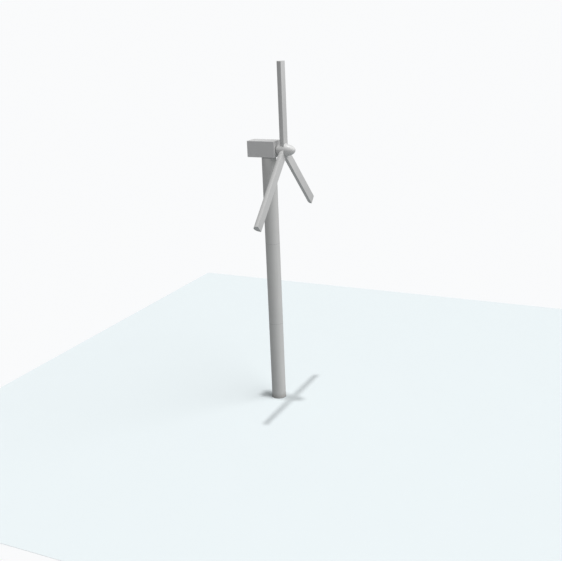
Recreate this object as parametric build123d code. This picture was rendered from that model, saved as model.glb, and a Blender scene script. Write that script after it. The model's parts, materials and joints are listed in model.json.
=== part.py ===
from build123d import *
import math
import os

# Full-size three-blade wind turbine on a tubular steel tower.  Millimetres, +Z up.
# The origin is the centre of the tower's base flange, on its lower face.
# +X is the rotor axis, from the nacelle towards the nose of the spinner.

# --- Tower -------------------------------------------------------------------
tower_radius = 1650.0
tower_wall = 25.0
lower_length = 19000.0
middle_length = 19500.0
upper_length = 19800.0
flange_width = 150.0
flange_thickness = 80.0
base_flange_width = 190.0
base_bolt_count = 48
base_bolt_hole = 21.0
base_bolt_inset = 100.0
top_flange_margin = 135.0
top_flange_thickness = 100.0
joint_bolt_count = 36
joint_bolt_size = 36.0
joint_bolt_inset = 75.0
bolt_hole_play = 1.5

# --- Tower door --------------------------------------------------------------
door_width = 800.0
door_height = 2100.0
door_sill = 700.0
door_frame_width = 60.0
door_frame_proud = 50.0
door_frame_back = 24.0
door_overlap = 35.0
door_thickness = 30.0
door_pin_radius = 14.0
door_knuckle_radius = 28.0
door_hinge_spacing = 1200.0
door_hinge_length = 120.0
door_hinge_play = 6.0
knuckle_gap = 1.0
ear_depth = 60.0
ear_inset = 30.0
strap_inset = 120.0
strap_sunk = 8.0
strap_proud = 12.0
pin_reach = 10.0
handle_inset = 110.0
handle_length = 260.0
handle_radius = 16.0
handle_spindle_radius = 12.0
handle_boss_radius = 34.0
handle_boss_height = 26.0
handle_play = 1.0
handle_spindle_reach = 8.0

# --- Platforms and ladder ----------------------------------------------------
platform_thickness = 20.0
platform_play = 8.0
floor_below_frame = 15.0
platform_drop = 1500.0
platform_bracket_count = 8
platform_bracket_size = 120.0
hatch_size = 800.0
ladder_wall_gap = 375.0
ladder_width = 400.0
rail_depth = 60.0
rail_thickness = 20.0
rung_size = 30.0
rung_pitch = 280.0
ladder_foot_reach = 160.0
ladder_foot_thickness = 12.0
ladder_top_reach = 1100.0

# --- Yaw bearing and drives --------------------------------------------------
yaw_module = 18.0
yaw_pinion_teeth = 14
yaw_inner_height = 80.0
yaw_ring_height = 120.0
yaw_lift = 5.0
yaw_race_inset = 120.0
yaw_outer_wall = 110.0
yaw_bolt_inset = 65.0
yaw_tooth_room = 70.0
yaw_pinion_floor = 10.0
yaw_pinion_height = 80.0
yaw_shaft_radius = 50.0
yaw_shaft_reach = 150.0
yaw_bore_depth = 300.0
yaw_nose_radius = 120.0
yaw_nose_gap = 5.0
yaw_nose_play = 30.0
yaw_gearcase_radius = 170.0
yaw_gearcase_height = 700.0
yaw_motor_radius = 130.0
yaw_motor_height = 420.0
yaw_flange_radius = 195.0
yaw_flange_thickness = 30.0

# --- Nacelle -----------------------------------------------------------------
nacelle_front = 2090.0
nacelle_rear_room = 620.0
nacelle_side_room = 10.0
nacelle_height = 3600.0
nacelle_wall = 40.0
nacelle_lift = 30.0
foot_overlap = 30.0
foot_thickness = 100.0
foot_inner_room = 260.0
foot_play = 5.0
beam_spacing = 1200.0
beam_width = 250.0
beam_height = 410.0
beam_front_gap = 140.0
beam_rear_reach = 300.0
beam_wall = 30.0
cross_beam_width = 240.0
front_cross_beam_inset = 500.0
rear_cross_beam_inset = 300.0
shaft_hole_play = 25.0
rear_hatch_width = 1000.0
rear_hatch_height = 1700.0
rear_hatch_play = 6.0
rear_hatch_sill = 620.0
rear_pin_radius = 15.0
rear_knuckle_radius = 30.0
rear_hinge_length = 90.0
rear_hinge_spacing = 1000.0
rear_hinge_play = 1.0
rear_pin_gap = 10.0
rear_socket_back = 5.0
rear_socket_reach = 60.0
rear_strap_length = 200.0
rear_strap_depth = 10.0

# --- Drive train -------------------------------------------------------------
hub_rise = 1580.0
shaft_radius = 300.0
journal_radius = 200.0
shaft_flange_edge = 90.0
shaft_flange_thickness = 150.0
shaft_flange_reach = 360.0
shaft_end_gap = 5.0
bearing_setback = 690.0
bearing_width = 500.0
bearing_ring_radius = 520.0
bearing_foot_edge = 35.0
bearing_foot_thickness = 120.0
bearing_pedestal_inset = 60.0
gearbox_front = -600.0
gearbox_length = 1100.0
gearbox_wall = 40.0
gearbox_room = 25.0
gearbox_foot_width = 260.0
gearbox_foot_inset = 100.0
low_module = 14.0
low_wheel_teeth = 90
low_pinion_teeth = 18
low_face_width = 300.0
high_module = 8.0
high_wheel_teeth = 96
high_pinion_teeth = 16
high_face_width = 200.0
high_shaft_rise = 60.0
intermediate_radius = 70.0
high_shaft_radius = 50.0
gear_gap = 200.0
cover_boss_radius = 110.0
cover_boss_length = 160.0
brake_disc_radius = 350.0
brake_disc_thickness = 30.0
brake_hub_radius = 100.0
brake_hub_length = 180.0
brake_disc_distance = 380.0
brake_pad_gap = 4.0
caliper_width = 260.0
caliper_cheek = 90.0
caliper_reach = 110.0
caliper_back = 130.0
caliper_throat = 20.0
generator_radius = 450.0
generator_wall = 40.0
generator_length = 1400.0
generator_distance = 760.0
generator_shaft_radius = 60.0
stator_thickness = 110.0
stator_length = 1000.0
air_gap = 2.0
generator_foot_width = 160.0
generator_foot_spread = 560.0
generator_foot_inset = 200.0
generator_foot_drop = 60.0
generator_sole = 60.0
cabinet_length = 1000.0
cabinet_depth = 480.0
cabinet_height = 1800.0
cabinet_wall = 30.0

# --- Hub, spinner and pitch bearings -----------------------------------------
pitch_axis_reach = 1050.0
hub_length = 2000.0
hub_radius = 750.0
hub_wall = 90.0
hub_mouth_radius = 300.0
hub_bolt_count = 24
hub_bolt_inset = 150.0
hub_bolt_size = 42.0
neck_wall = 125.0
neck_rise = 200.0
drive_plate_depth = 10.0
drive_plate_thickness = 40.0
drive_plate_overlap = 20.0
pitch_module = 8.0
pitch_pinion_teeth = 12
pitch_race_radius = 395.0
pitch_tooth_room = 103.0
pitch_ring_height = 80.0
pitch_pinion_height = 60.0
pitch_pinion_floor = 10.0
pitch_shaft_radius = 30.0
pitch_shaft_gap = 5.0
pitch_nose_radius = 50.0
pitch_nose_play = 2.0
pitch_nose_length = 150.0
pitch_motor_radius = 105.0
pitch_motor_length = 300.0
spinner_centre_reach = 500.0
spinner_half_length = 2500.0
spinner_radius = 1340.0
spinner_skin = 20.0
spinner_gap = 100.0
spinner_bulkhead = 20.0
stub_rise = 260.0
stub_hole_play = 20.0

# --- Blades ------------------------------------------------------------------
blade_angles = (0.0, 135.0, -135.0)
blade_tips = (19150.0, 20570.0, 19900.0)
blade_face_reach = 750.0
blade_half_chord = 1045.0
blade_depth = 1370.0
blade_gap = 15.0
blade_skin = 14.0
root_ring_inset = 5.0
root_wall = 40.0
root_end = 2700.0
spar_width = 600.0
spar_wall = 20.0
spar_tip_gap = 500.0
spar_bond = 1.0

# --- Fits, bolt and gear proportions -----------------------------------------
bolt_head_share = 0.88
head_height_share = 0.64
nut_share = 0.8
bolt_end_share = 1.2
running_gap = 0.3
tooth_share = 0.42
addendum = 0.8
dedendum = 1.1
pressure_angle = 20.0

# --- Derived sizes -----------------------------------------------------------
tower_bore = tower_radius - tower_wall
lower_joint = lower_length
upper_joint = lower_length + middle_length
tower_top = upper_joint + upper_length
ladder_offset = tower_bore - ladder_wall_gap
joint_bolt_radius = tower_bore - joint_bolt_inset
base_bolt_radius = tower_bore - base_bolt_inset
door_frame_half = door_width / 2 + door_frame_width
door_frame_face = tower_radius + door_frame_proud
door_frame_depth = door_frame_face - math.sqrt(tower_bore**2 - door_frame_half**2) + door_frame_back
door_middle = door_sill + door_height / 2
door_pin_x = door_width / 2 + door_overlap + door_knuckle_radius + door_hinge_play
door_pin_y = door_frame_face + door_thickness
entry_floor = door_sill - door_frame_width - platform_thickness - floor_below_frame
platform_levels = (
    entry_floor,
    lower_joint - platform_drop,
    upper_joint - platform_drop,
    tower_top - platform_drop,
)
yaw_race_radius = tower_radius - yaw_race_inset
yaw_outer_radius = yaw_race_radius + yaw_outer_wall
yaw_bolt_radius = yaw_race_radius - yaw_bolt_inset
yaw_ring_teeth = 2 * int((yaw_bolt_radius - yaw_tooth_room) / yaw_module)
yaw_drive_tooth = round(yaw_ring_teeth / 6)
top_flange_width = tower_bore - yaw_bolt_radius + top_flange_margin
yaw_top = tower_top + yaw_ring_height
yaw_distance = yaw_module * (yaw_ring_teeth - yaw_pinion_teeth) / 2
yaw_drive_angle = 360.0 / yaw_ring_teeth * yaw_drive_tooth
foot_radius = yaw_race_radius + foot_overlap
foot_hole_radius = yaw_distance - foot_inner_room
nacelle_half_width = yaw_outer_radius + nacelle_side_room
nacelle_floor_level = yaw_top + nacelle_lift
nacelle_roof_level = nacelle_floor_level + nacelle_height
beam_bottom = nacelle_floor_level + nacelle_wall
beam_top = beam_bottom + beam_height
foot_top = yaw_top + foot_thickness
hub_height = yaw_top + hub_rise
low_distance = low_module * (low_wheel_teeth + low_pinion_teeth) / 2
high_distance = high_module * (high_wheel_teeth + high_pinion_teeth) / 2
intermediate_place = (low_distance, 0.0)
high_direction = high_shaft_rise - 90.0
high_place = (
    low_distance - high_distance * math.cos(math.radians(high_shaft_rise)),
    high_distance * math.sin(math.radians(high_shaft_rise)),
)
gearbox_rear = gearbox_front - gearbox_length
low_wheel_rear = gearbox_front - gearbox_wall - gear_gap - low_face_width
high_wheel_rear = low_wheel_rear - gear_gap - high_face_width
cover_rear = gearbox_rear - gearbox_wall
brake_disc_face = cover_rear - brake_disc_distance
generator_front = cover_rear - generator_distance
generator_rear = generator_front - generator_length
stator_front = generator_front - (generator_length - stator_length) / 2
stator_bore = generator_radius - generator_wall - stator_thickness
generator_seat = hub_height + high_place[1] - generator_radius - generator_foot_drop
nacelle_rear = generator_rear - nacelle_rear_room
beam_front = nacelle_front - beam_front_gap
beam_rear = generator_rear - beam_rear_reach
bearing_front = nacelle_front - bearing_setback
bearing_foot_half_width = (beam_spacing + beam_width) / 2 + bearing_foot_edge
rear_pin_x = nacelle_rear - rear_knuckle_radius - rear_hinge_play
rear_pin_y = rear_hatch_width / 2 + rear_knuckle_radius
rear_hatch_bottom = nacelle_floor_level + rear_hatch_sill
shaft_flange_face = nacelle_front + shaft_flange_reach
hub_bolt_circle = hub_radius - hub_wall - hub_bolt_inset
shaft_flange_radius = hub_bolt_circle + shaft_flange_edge
hub_front = shaft_flange_face + hub_length
pitch_axis = shaft_flange_face + pitch_axis_reach
neck_radius = pitch_race_radius + neck_wall
neck_face = hub_radius + neck_rise
drive_plate_distance = hub_radius - drive_plate_depth
pitch_ring_teeth = 2 * int((pitch_race_radius - pitch_tooth_room) / pitch_module)
root_radius = pitch_race_radius - root_ring_inset
spinner_centre = pitch_axis + spinner_centre_reach
spinner_rear = nacelle_front + spinner_gap
stub_end = spinner_radius + stub_rise
blade_face = pitch_axis + blade_face_reach
pitch_offset = pitch_module * (pitch_ring_teeth - pitch_pinion_teeth) / 2
root_face = neck_face + pitch_ring_height
blade_start = stub_end + blade_gap


# --- Helpers -----------------------------------------------------------------
def rod(radius, length, base=0.0):
    """A round bar along Z that starts at height base."""
    return Pos(0, 0, base) * Cylinder(radius, length, align=(Align.CENTER, Align.CENTER, Align.MIN))


def tube(outer, inner, length, base=0.0):
    """A round tube along Z that starts at height base."""
    return rod(outer, length, base) - rod(inner, length, base)


def block(x_span, y_span, z_span):
    """A box given by its two limits along each axis."""
    sizes = [high - low for low, high in (x_span, y_span, z_span)]
    middles = [(high + low) / 2 for low, high in (x_span, y_span, z_span)]
    return Pos(*middles) * Box(*sizes)


def around_z(shape, count, radius, first=0.0):
    """Copies of a shape, evenly spaced on a circle about Z."""
    return [Rot(0, 0, first + 360.0 / count * i) * Pos(radius, 0, 0) * shape for i in range(count)]


def along_x(shape, x, place=(0.0, 0.0)):
    """Turns a shape built along Z to run along -X from x, at a place (y, z) beside the rotor axis."""
    return Pos(x, place[0], hub_height + place[1]) * Rot(0, -90, 0) * shape


def on_blade(shape, angle):
    """Places a shape, built with its blade along +Z from the rotor axis, at its angle about that axis."""
    return Pos(0, 0, hub_height) * Rot(angle, 0, 0) * shape


def on_pitch_axis(shape):
    """Moves a shape built about Z onto the pitch axis of an upright blade."""
    return Pos(pitch_axis, 0, 0) * shape


def hex_bolt(size, grip):
    """A bolt through a joint of thickness grip, with its head above z=0 and its nut below the grip."""
    hexagon = RegularPolygon(bolt_head_share * size, 6)
    nut = Pos(0, 0, -grip - nut_share * size) * extrude(hexagon, nut_share * size)
    shank = rod(size / 2, grip + bolt_end_share * size, -grip - bolt_end_share * size)
    return extrude(hexagon, head_height_share * size) + nut + shank


def gear_profile(teeth, module, above, below, share):
    """A spur gear's outline: straight flanks lean at the pressure angle through the pitch circle."""
    pitch_radius = module * teeth / 2
    half_tooth = math.pi * share / teeth
    lean = math.tan(math.radians(pressure_angle)) / pitch_radius
    corners = (
        (pitch_radius - below, -half_tooth - lean * below),
        (pitch_radius + above, -half_tooth + lean * above),
        (pitch_radius + above, half_tooth - lean * above),
        (pitch_radius - below, half_tooth + lean * below),
    )
    points = []
    for tooth in range(teeth):
        middle = 2 * math.pi * tooth / teeth
        for radius, angle in corners:
            points.append((radius * math.cos(middle + angle), radius * math.sin(middle + angle)))
    return make_face(Polyline(*points, close=True))


def outer_gear(teeth, module, width, base=0.0):
    """A gear with outward teeth, one of them centred on +X."""
    profile = gear_profile(teeth, module, addendum * module, dedendum * module, tooth_share)
    return Pos(0, 0, base) * extrude(profile, width)


def inner_gear_room(teeth, module, width, base=0.0):
    """What is cut from a ring to leave inward teeth, with one gap centred on +X."""
    profile = gear_profile(teeth, module, dedendum * module, addendum * module, 1 - tooth_share)
    return Pos(0, 0, base) * extrude(profile, width)


def stadium(half_width, height, depth, face):
    """An upright plate with round ends, from y = face - depth to y = face, centred on the door."""
    straight = height - 2 * half_width
    middle = block((-half_width, half_width), (face - depth, face), (-straight / 2, straight / 2))
    plate = middle
    for end in (-straight / 2, straight / 2):
        plate = plate + Pos(0, face, end) * Rot(90, 0, 0) * rod(half_width, depth)
    return Pos(0, 0, door_middle) * plate


# --- Tower pieces ------------------------------------------------------------
def flange_ring(level, width, thickness, bolt_radius, count, hole_radius):
    """An inward flange whose lower face is at level, with its ring of holes."""
    ring = tube(tower_bore, tower_bore - width, thickness, level)
    return ring - around_z(rod(hole_radius, thickness, level), count, bolt_radius)


def joint_flange(level):
    """One of the two flanges that a pair of tower sections is bolted through."""
    hole_radius = joint_bolt_size / 2 + bolt_hole_play
    width, thickness = flange_width, flange_thickness
    return flange_ring(level, width, thickness, joint_bolt_radius, joint_bolt_count, hole_radius)


def platform_brackets(level):
    """Blocks welded to the wall under a platform."""
    half = platform_bracket_size / 2
    reach = (tower_bore - platform_bracket_size, tower_bore + tower_wall / 2)
    bracket = block(reach, (-half, half), (level - platform_bracket_size, level))
    return around_z(bracket, platform_bracket_count, 0.0, 180.0 / platform_bracket_count)


def tower_lower_section():
    """The bottom can, with the base flange, the doorway and two platforms' brackets."""
    hole = base_bolt_hole
    section = tube(tower_radius, tower_bore, lower_length)
    section += flange_ring(0, base_flange_width, flange_thickness, base_bolt_radius, base_bolt_count, hole)
    section += joint_flange(lower_joint - flange_thickness)
    section += platform_brackets(platform_levels[0])
    section += platform_brackets(platform_levels[1])
    height = door_height + 2 * door_frame_width
    return section - stadium(door_frame_half, height, tower_radius, door_frame_face)


def tower_middle_section():
    """The middle can, flanged at both ends."""
    section = tube(tower_radius, tower_bore, middle_length, lower_joint)
    section += joint_flange(lower_joint)
    section += joint_flange(upper_joint - flange_thickness)
    return section + platform_brackets(platform_levels[2])


def tower_upper_section():
    """The top can, whose wide top flange carries the yaw bearing."""
    hole_radius = joint_bolt_size / 2 + bolt_hole_play
    level = tower_top - top_flange_thickness
    section = tube(tower_radius, tower_bore, upper_length, upper_joint)
    section += joint_flange(upper_joint)
    section += flange_ring(
        level, top_flange_width, top_flange_thickness, yaw_bolt_radius, joint_bolt_count, hole_radius
    )
    return section + platform_brackets(platform_levels[3])


def flange_bolts():
    """Bolts of the two tower joints, and of the yaw ring on the top flange."""
    joint_bolt = hex_bolt(joint_bolt_size, 2 * flange_thickness)
    yaw_bolt = hex_bolt(joint_bolt_size, yaw_inner_height + top_flange_thickness)
    bolts = []
    for level in (lower_joint, upper_joint):
        joint = Pos(0, 0, level + flange_thickness) * joint_bolt
        bolts += around_z(joint, joint_bolt_count, joint_bolt_radius)
    bolts += around_z(Pos(0, 0, tower_top + yaw_inner_height) * yaw_bolt, joint_bolt_count, yaw_bolt_radius)
    return Compound(bolts)


def hinge_levels():
    """Heights of the middles of the door's two hinges."""
    return (door_middle - door_hinge_spacing / 2, door_middle + door_hinge_spacing / 2)


def door_knuckle(low, inner_x, back_y, front_y):
    """One knuckle on the pins' line, a third of a hinge high, and the block that joins it to its leaf."""
    height = door_hinge_length / 3 - knuckle_gap
    barrel = Pos(door_pin_x, door_pin_y, 0) * rod(door_knuckle_radius, height, low)
    return barrel + block((inner_x, door_pin_x), (back_y, front_y), (low, low + height))


def door_pin_bore(level, radius):
    """The bore for a pin, through a whole hinge."""
    return Pos(door_pin_x, door_pin_y, 0) * rod(radius, door_hinge_length, level - door_hinge_length / 2)


def door_frame():
    """The thick oval ring welded into the doorway, with the fixed ears of the hinges."""
    outer = stadium(door_frame_half, door_height + 2 * door_frame_width, door_frame_depth, door_frame_face)
    frame = outer - stadium(door_width / 2, door_height, door_frame_depth, door_frame_face)
    third = door_hinge_length / 3
    back = door_frame_face - ear_depth
    for level in hinge_levels():
        for side in (-1, 1):
            low = level + side * third - (third - knuckle_gap) / 2
            frame += door_knuckle(low, door_frame_half - ear_inset, back, door_frame_face - knuckle_gap)
            frame += door_knuckle(low, door_pin_x - door_knuckle_radius, back, door_pin_y)
        frame -= door_pin_bore(level, door_pin_radius)
    return frame


def door_hinge_pins():
    """The two pins, tight in the frame's ears."""
    length = door_hinge_length + 2 * pin_reach
    pin = Pos(door_pin_x, door_pin_y, -length / 2) * rod(door_pin_radius, length)
    return Compound([Pos(0, 0, level) * pin for level in hinge_levels()])


def handle_place():
    """Where the handle's spindle goes through the door."""
    return (-door_width / 2 + handle_inset, door_middle)


def tower_door():
    """The door leaf, which closes over the frame's face, with the moving knuckles of its hinges."""
    front = door_frame_face + running_gap + door_thickness
    leaf = stadium(door_width / 2 + door_overlap, door_height + 2 * door_overlap, door_thickness, front)
    for level in hinge_levels():
        low = level - (door_hinge_length / 3 - knuckle_gap) / 2
        leaf += door_knuckle(low, door_width / 2 - strap_inset, front - strap_sunk, front + strap_proud)
        leaf -= door_pin_bore(level, door_pin_radius + running_gap)
    x, z = handle_place()
    spindle_hole = rod(handle_spindle_radius + running_gap, 4 * door_thickness)
    return leaf - Pos(x, front + door_thickness, z) * Rot(90, 0, 0) * spindle_hole


def door_handle():
    """A lever that hangs down from its boss, on a spindle through the door."""
    face = door_frame_face + running_gap + door_thickness + handle_play
    x, z = handle_place()
    boss = Pos(x, face, z) * Rot(-90, 0, 0) * rod(handle_boss_radius, handle_boss_height)
    lever = Pos(x, face + handle_boss_height, z - handle_length) * rod(handle_radius, handle_length)
    spindle_length = door_thickness + handle_spindle_reach
    spindle = Pos(x, face, z) * Rot(90, 0, 0) * rod(handle_spindle_radius, spindle_length)
    return boss + lever + spindle


def tower_platforms():
    """Round floors with a square hatch for the ladder."""
    plates = []
    half = hatch_size / 2
    for level in platform_levels:
        plate = rod(tower_bore - platform_play, platform_thickness, level)
        plate -= block(
            (-ladder_offset - rail_depth, -ladder_offset - rail_depth + hatch_size),
            (-half, half),
            (level, level + platform_thickness),
        )
        plates.append(plate)
    return Compound(plates)


def ladder():
    """Two rails with rungs between them; plates on the rails stand on each platform's edge."""
    bottom = platform_levels[0] + platform_thickness
    top = platform_levels[-1] + platform_thickness + ladder_top_reach
    x_span = (-ladder_offset - rail_depth, -ladder_offset)
    half = ladder_width / 2
    pieces = []
    for side in (-1, 1):
        inner, outer = sorted((side * half, side * (half + rail_thickness)))
        rail = block(x_span, (inner, outer), (bottom, top))
        for level in platform_levels:
            foot_level = level + platform_thickness
            start, end = sorted((side * half, side * (hatch_size / 2 + ladder_foot_reach)))
            rail += block(x_span, (start, end), (foot_level, foot_level + ladder_foot_thickness))
        pieces.append(rail)
    middle = -ladder_offset - rail_depth / 2
    rung_x = (middle - rung_size / 2, middle + rung_size / 2)
    for i in range(int((top - bottom - rung_pitch / 2) / rung_pitch)):
        level = bottom + rung_pitch * (i + 0.75)
        pieces.append(block(rung_x, (-half, half), (level, level + rung_size)))
    return Compound(pieces)


# --- Yaw pieces --------------------------------------------------------------
def yaw_ring_gear():
    """The inner bearing ring bolted to the tower, with inward teeth for the yaw pinions."""
    ring = rod(yaw_race_radius, yaw_inner_height, tower_top)
    ring -= inner_gear_room(yaw_ring_teeth, yaw_module, yaw_inner_height, tower_top)
    hole = rod(joint_bolt_size / 2 + bolt_hole_play, yaw_inner_height, tower_top)
    return ring - around_z(hole, joint_bolt_count, yaw_bolt_radius)


def yaw_slide_ring():
    """The outer bearing ring, which turns with the nacelle."""
    height = yaw_ring_height - yaw_lift
    return tube(yaw_outer_radius, yaw_race_radius + running_gap, height, tower_top + yaw_lift)


def at_yaw_drive(shape, side):
    """Moves a shape built about Z to a yaw drive's axis; a tooth on +X then points at the ring."""
    return Rot(0, 0, side * yaw_drive_angle) * Pos(yaw_distance, 0, 0) * shape


def yaw_drives():
    """Two geared motors that stand on the main frame's foot."""
    nose_length = foot_thickness - yaw_nose_gap
    drive = rod(yaw_flange_radius, yaw_flange_thickness, foot_top)
    drive += rod(yaw_nose_radius, nose_length, foot_top - nose_length)
    drive += rod(yaw_gearcase_radius, yaw_gearcase_height, foot_top)
    drive += rod(yaw_motor_radius, yaw_motor_height, foot_top + yaw_gearcase_height)
    drive -= rod(yaw_shaft_radius + running_gap, yaw_bore_depth, foot_top - nose_length)
    return Compound([at_yaw_drive(drive, side) for side in (-1, 1)])


def yaw_pinion(side):
    """The pinion of one yaw drive, on its shaft."""
    base = tower_top + yaw_pinion_floor
    pinion = outer_gear(yaw_pinion_teeth, yaw_module, yaw_pinion_height, base)
    pinion += rod(yaw_shaft_radius, foot_top + yaw_shaft_reach - base, base)
    return at_yaw_drive(pinion, side)


# --- Nacelle pieces ----------------------------------------------------------
def beam(y_middle):
    """One long box beam of the main frame."""
    half = beam_width / 2
    outer = block((beam_rear, beam_front), (y_middle - half, y_middle + half), (beam_bottom, beam_top))
    inner = block(
        (beam_rear + beam_wall, beam_front - beam_wall),
        (y_middle - half + beam_wall, y_middle + half - beam_wall),
        (beam_bottom + beam_wall, beam_top - beam_wall),
    )
    return outer - inner


def generator_feet_places():
    """The middles (x, y) of the four generator feet."""
    return [
        (x, high_place[0] + side * generator_foot_spread / 2)
        for x in (generator_front - generator_foot_inset, generator_rear + generator_foot_inset)
        for side in (-1, 1)
    ]


def bedplate():
    """The welded main frame: round foot, two long beams, cross beams and the generator's stands."""
    frame = tube(foot_radius, foot_hole_radius, foot_thickness, yaw_top)
    nose_room = rod(yaw_nose_radius + yaw_nose_play, foot_thickness, yaw_top)
    frame -= [at_yaw_drive(nose_room, side) for side in (-1, 1)]
    half = beam_spacing / 2
    reach = half - beam_width / 2
    rear = rear_cross_beam_inset
    for x in (beam_front - front_cross_beam_inset, 0.0, gearbox_rear - rear, beam_rear + rear):
        span = (x - cross_beam_width / 2, x + cross_beam_width / 2)
        frame += block(span, (-reach, reach), (beam_bottom, beam_top))
    for side in (-1, 1):
        frame += beam(side * half)
    stand_half = generator_foot_width / 2
    for x, y in generator_feet_places():
        low, high = sorted((y, math.copysign(half, y)))
        x_span = (x - stand_half, x + stand_half)
        sole_bottom = beam_top - generator_sole
        frame += block(x_span, (low - stand_half, high + stand_half), (sole_bottom, beam_top))
        frame += block(x_span, (y - stand_half, y + stand_half), (sole_bottom, generator_seat))
    return frame


def nacelle_plan():
    """The limits in x and y of the nacelle's box."""
    return (nacelle_rear, nacelle_front), (-nacelle_half_width, nacelle_half_width)


def nacelle_floor():
    """The floor panel, open around the main frame's foot."""
    x_span, y_span = nacelle_plan()
    panel = block(x_span, y_span, (nacelle_floor_level, nacelle_floor_level + nacelle_wall))
    return panel - rod(foot_radius + foot_play, nacelle_wall, nacelle_floor_level)


def nacelle_roof():
    """The roof panel, over the tops of the walls."""
    x_span, y_span = nacelle_plan()
    return block(x_span, y_span, (nacelle_roof_level - nacelle_wall, nacelle_roof_level))


def nacelle_wall_span():
    """The height that the upright panels fill between floor and roof."""
    return (nacelle_floor_level + nacelle_wall, nacelle_roof_level - nacelle_wall)


def nacelle_side(side):
    """One long side panel."""
    low, high = sorted((side * nacelle_half_width, side * (nacelle_half_width - nacelle_wall)))
    return block((nacelle_rear, nacelle_front), (low, high), nacelle_wall_span())


def nacelle_front_panel():
    """The front panel, with the hole for the main shaft."""
    half = nacelle_half_width - nacelle_wall
    panel = block((nacelle_front - nacelle_wall, nacelle_front), (-half, half), nacelle_wall_span())
    return panel - along_x(rod(shaft_radius + shaft_hole_play, nacelle_wall), nacelle_front)


def rear_hinge_levels():
    """Heights of the middles of the rear hatch's hinges."""
    middle = rear_hatch_bottom + rear_hatch_height / 2
    return (middle - rear_hinge_spacing / 2, middle + rear_hinge_spacing / 2)


def nacelle_rear_panel():
    """The rear panel, with the hatch's opening and the sockets that its pins drop into."""
    half = nacelle_half_width - nacelle_wall
    panel = block((nacelle_rear, nacelle_rear + nacelle_wall), (-half, half), nacelle_wall_span())
    panel -= block(
        (nacelle_rear, nacelle_rear + nacelle_wall),
        (-rear_hatch_width / 2, rear_hatch_width / 2),
        (rear_hatch_bottom, rear_hatch_bottom + rear_hatch_height),
    )
    for level in rear_hinge_levels():
        low = level - rear_hinge_length
        panel += Pos(rear_pin_x, rear_pin_y, 0) * rod(rear_knuckle_radius, rear_hinge_length, low)
        y_span = (rear_pin_y - rear_socket_back, rear_pin_y + rear_socket_reach)
        panel += block((rear_pin_x, nacelle_rear), y_span, (low, level))
        panel -= Pos(rear_pin_x, rear_pin_y, 0) * rod(rear_pin_radius + running_gap, rear_hinge_length, low)
    return panel


def rear_hatch():
    """The hatch leaf, flush in its opening, with straps and lift-off hinge pins."""
    leaf = block(
        (nacelle_rear, nacelle_rear + nacelle_wall),
        (-rear_hatch_width / 2 + rear_hatch_play, rear_hatch_width / 2 - rear_hatch_play),
        (rear_hatch_bottom + rear_hatch_play, rear_hatch_bottom + rear_hatch_height - rear_hatch_play),
    )
    for level in rear_hinge_levels():
        low = level + running_gap
        leaf += Pos(rear_pin_x, rear_pin_y, 0) * rod(rear_knuckle_radius, rear_hinge_length, low)
        pin_low = level - rear_hinge_length + rear_pin_gap
        leaf += Pos(rear_pin_x, rear_pin_y, 0) * rod(rear_pin_radius, rear_hinge_length, pin_low)
        leaf += block(
            (rear_pin_x - rear_strap_depth, nacelle_rear),
            (rear_hatch_width / 2 - rear_strap_length, rear_pin_y),
            (low, low + rear_hinge_length),
        )
    return leaf


def control_cabinet():
    """A steel cabinet on the left-hand beam, behind the gearbox."""
    x_span = (generator_rear, generator_rear + cabinet_length)
    y_middle = -beam_spacing / 2 - beam_width / 2 + cabinet_depth / 2
    y_span = (y_middle - cabinet_depth / 2, y_middle + cabinet_depth / 2)
    box = block(x_span, y_span, (beam_top, beam_top + cabinet_height))
    room = block(
        (x_span[0] + cabinet_wall, x_span[1] - cabinet_wall),
        (y_span[0] + cabinet_wall, y_span[1] - cabinet_wall),
        (beam_top + cabinet_wall, beam_top + cabinet_height - cabinet_wall),
    )
    return box - room


# --- Drive train pieces ------------------------------------------------------
def main_bearing_housing():
    """The pillow block that carries the main shaft, standing on both beams."""
    half = bearing_foot_half_width
    rear = bearing_front - bearing_width
    housing = along_x(rod(bearing_ring_radius, bearing_width), bearing_front)
    housing += block((rear, bearing_front), (-half, half), (beam_top, beam_top + bearing_foot_thickness))
    x_span = (rear + bearing_pedestal_inset, bearing_front - bearing_pedestal_inset)
    housing += block(x_span, (-bearing_ring_radius, bearing_ring_radius), (beam_top, hub_height))
    return housing - along_x(rod(shaft_radius + running_gap, bearing_width), bearing_front)


def main_shaft():
    """The low-speed shaft: hub flange, body and the journal that ends in the gearbox cover."""
    flange_rear = shaft_flange_face - shaft_flange_thickness
    flange = rod(shaft_flange_radius, shaft_flange_thickness)
    hole = rod(hub_bolt_size / 2 + bolt_hole_play, shaft_flange_thickness)
    flange -= around_z(hole, hub_bolt_count, hub_bolt_circle)
    shaft = along_x(flange, shaft_flange_face)
    shaft += along_x(rod(shaft_radius, flange_rear - low_wheel_rear), flange_rear)
    shaft += along_x(rod(journal_radius, low_wheel_rear - cover_rear - shaft_end_gap), low_wheel_rear)
    return shaft


def low_speed_gear():
    """The large wheel on the main shaft."""
    wheel = outer_gear(low_wheel_teeth, low_module, low_face_width) - rod(shaft_radius, low_face_width)
    return along_x(Rot(0, 0, 90) * wheel, low_wheel_rear + low_face_width)


def intermediate_shaft():
    """The second shaft, with the pinion of the first stage and the wheel of the second."""
    shaft = rod(intermediate_radius, gearbox_front - cover_rear - 2 * shaft_end_gap, shaft_end_gap)
    pinion = outer_gear(
        low_pinion_teeth, low_module, low_face_width, gearbox_front - low_wheel_rear - low_face_width
    )
    wheel = outer_gear(
        high_wheel_teeth, high_module, high_face_width, gearbox_front - high_wheel_rear - high_face_width
    )
    pinion = Rot(0, 0, 270 + 180.0 / low_pinion_teeth) * pinion
    wheel = Rot(0, 0, high_direction) * wheel
    return along_x(shaft + pinion + wheel, gearbox_front, intermediate_place)


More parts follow.
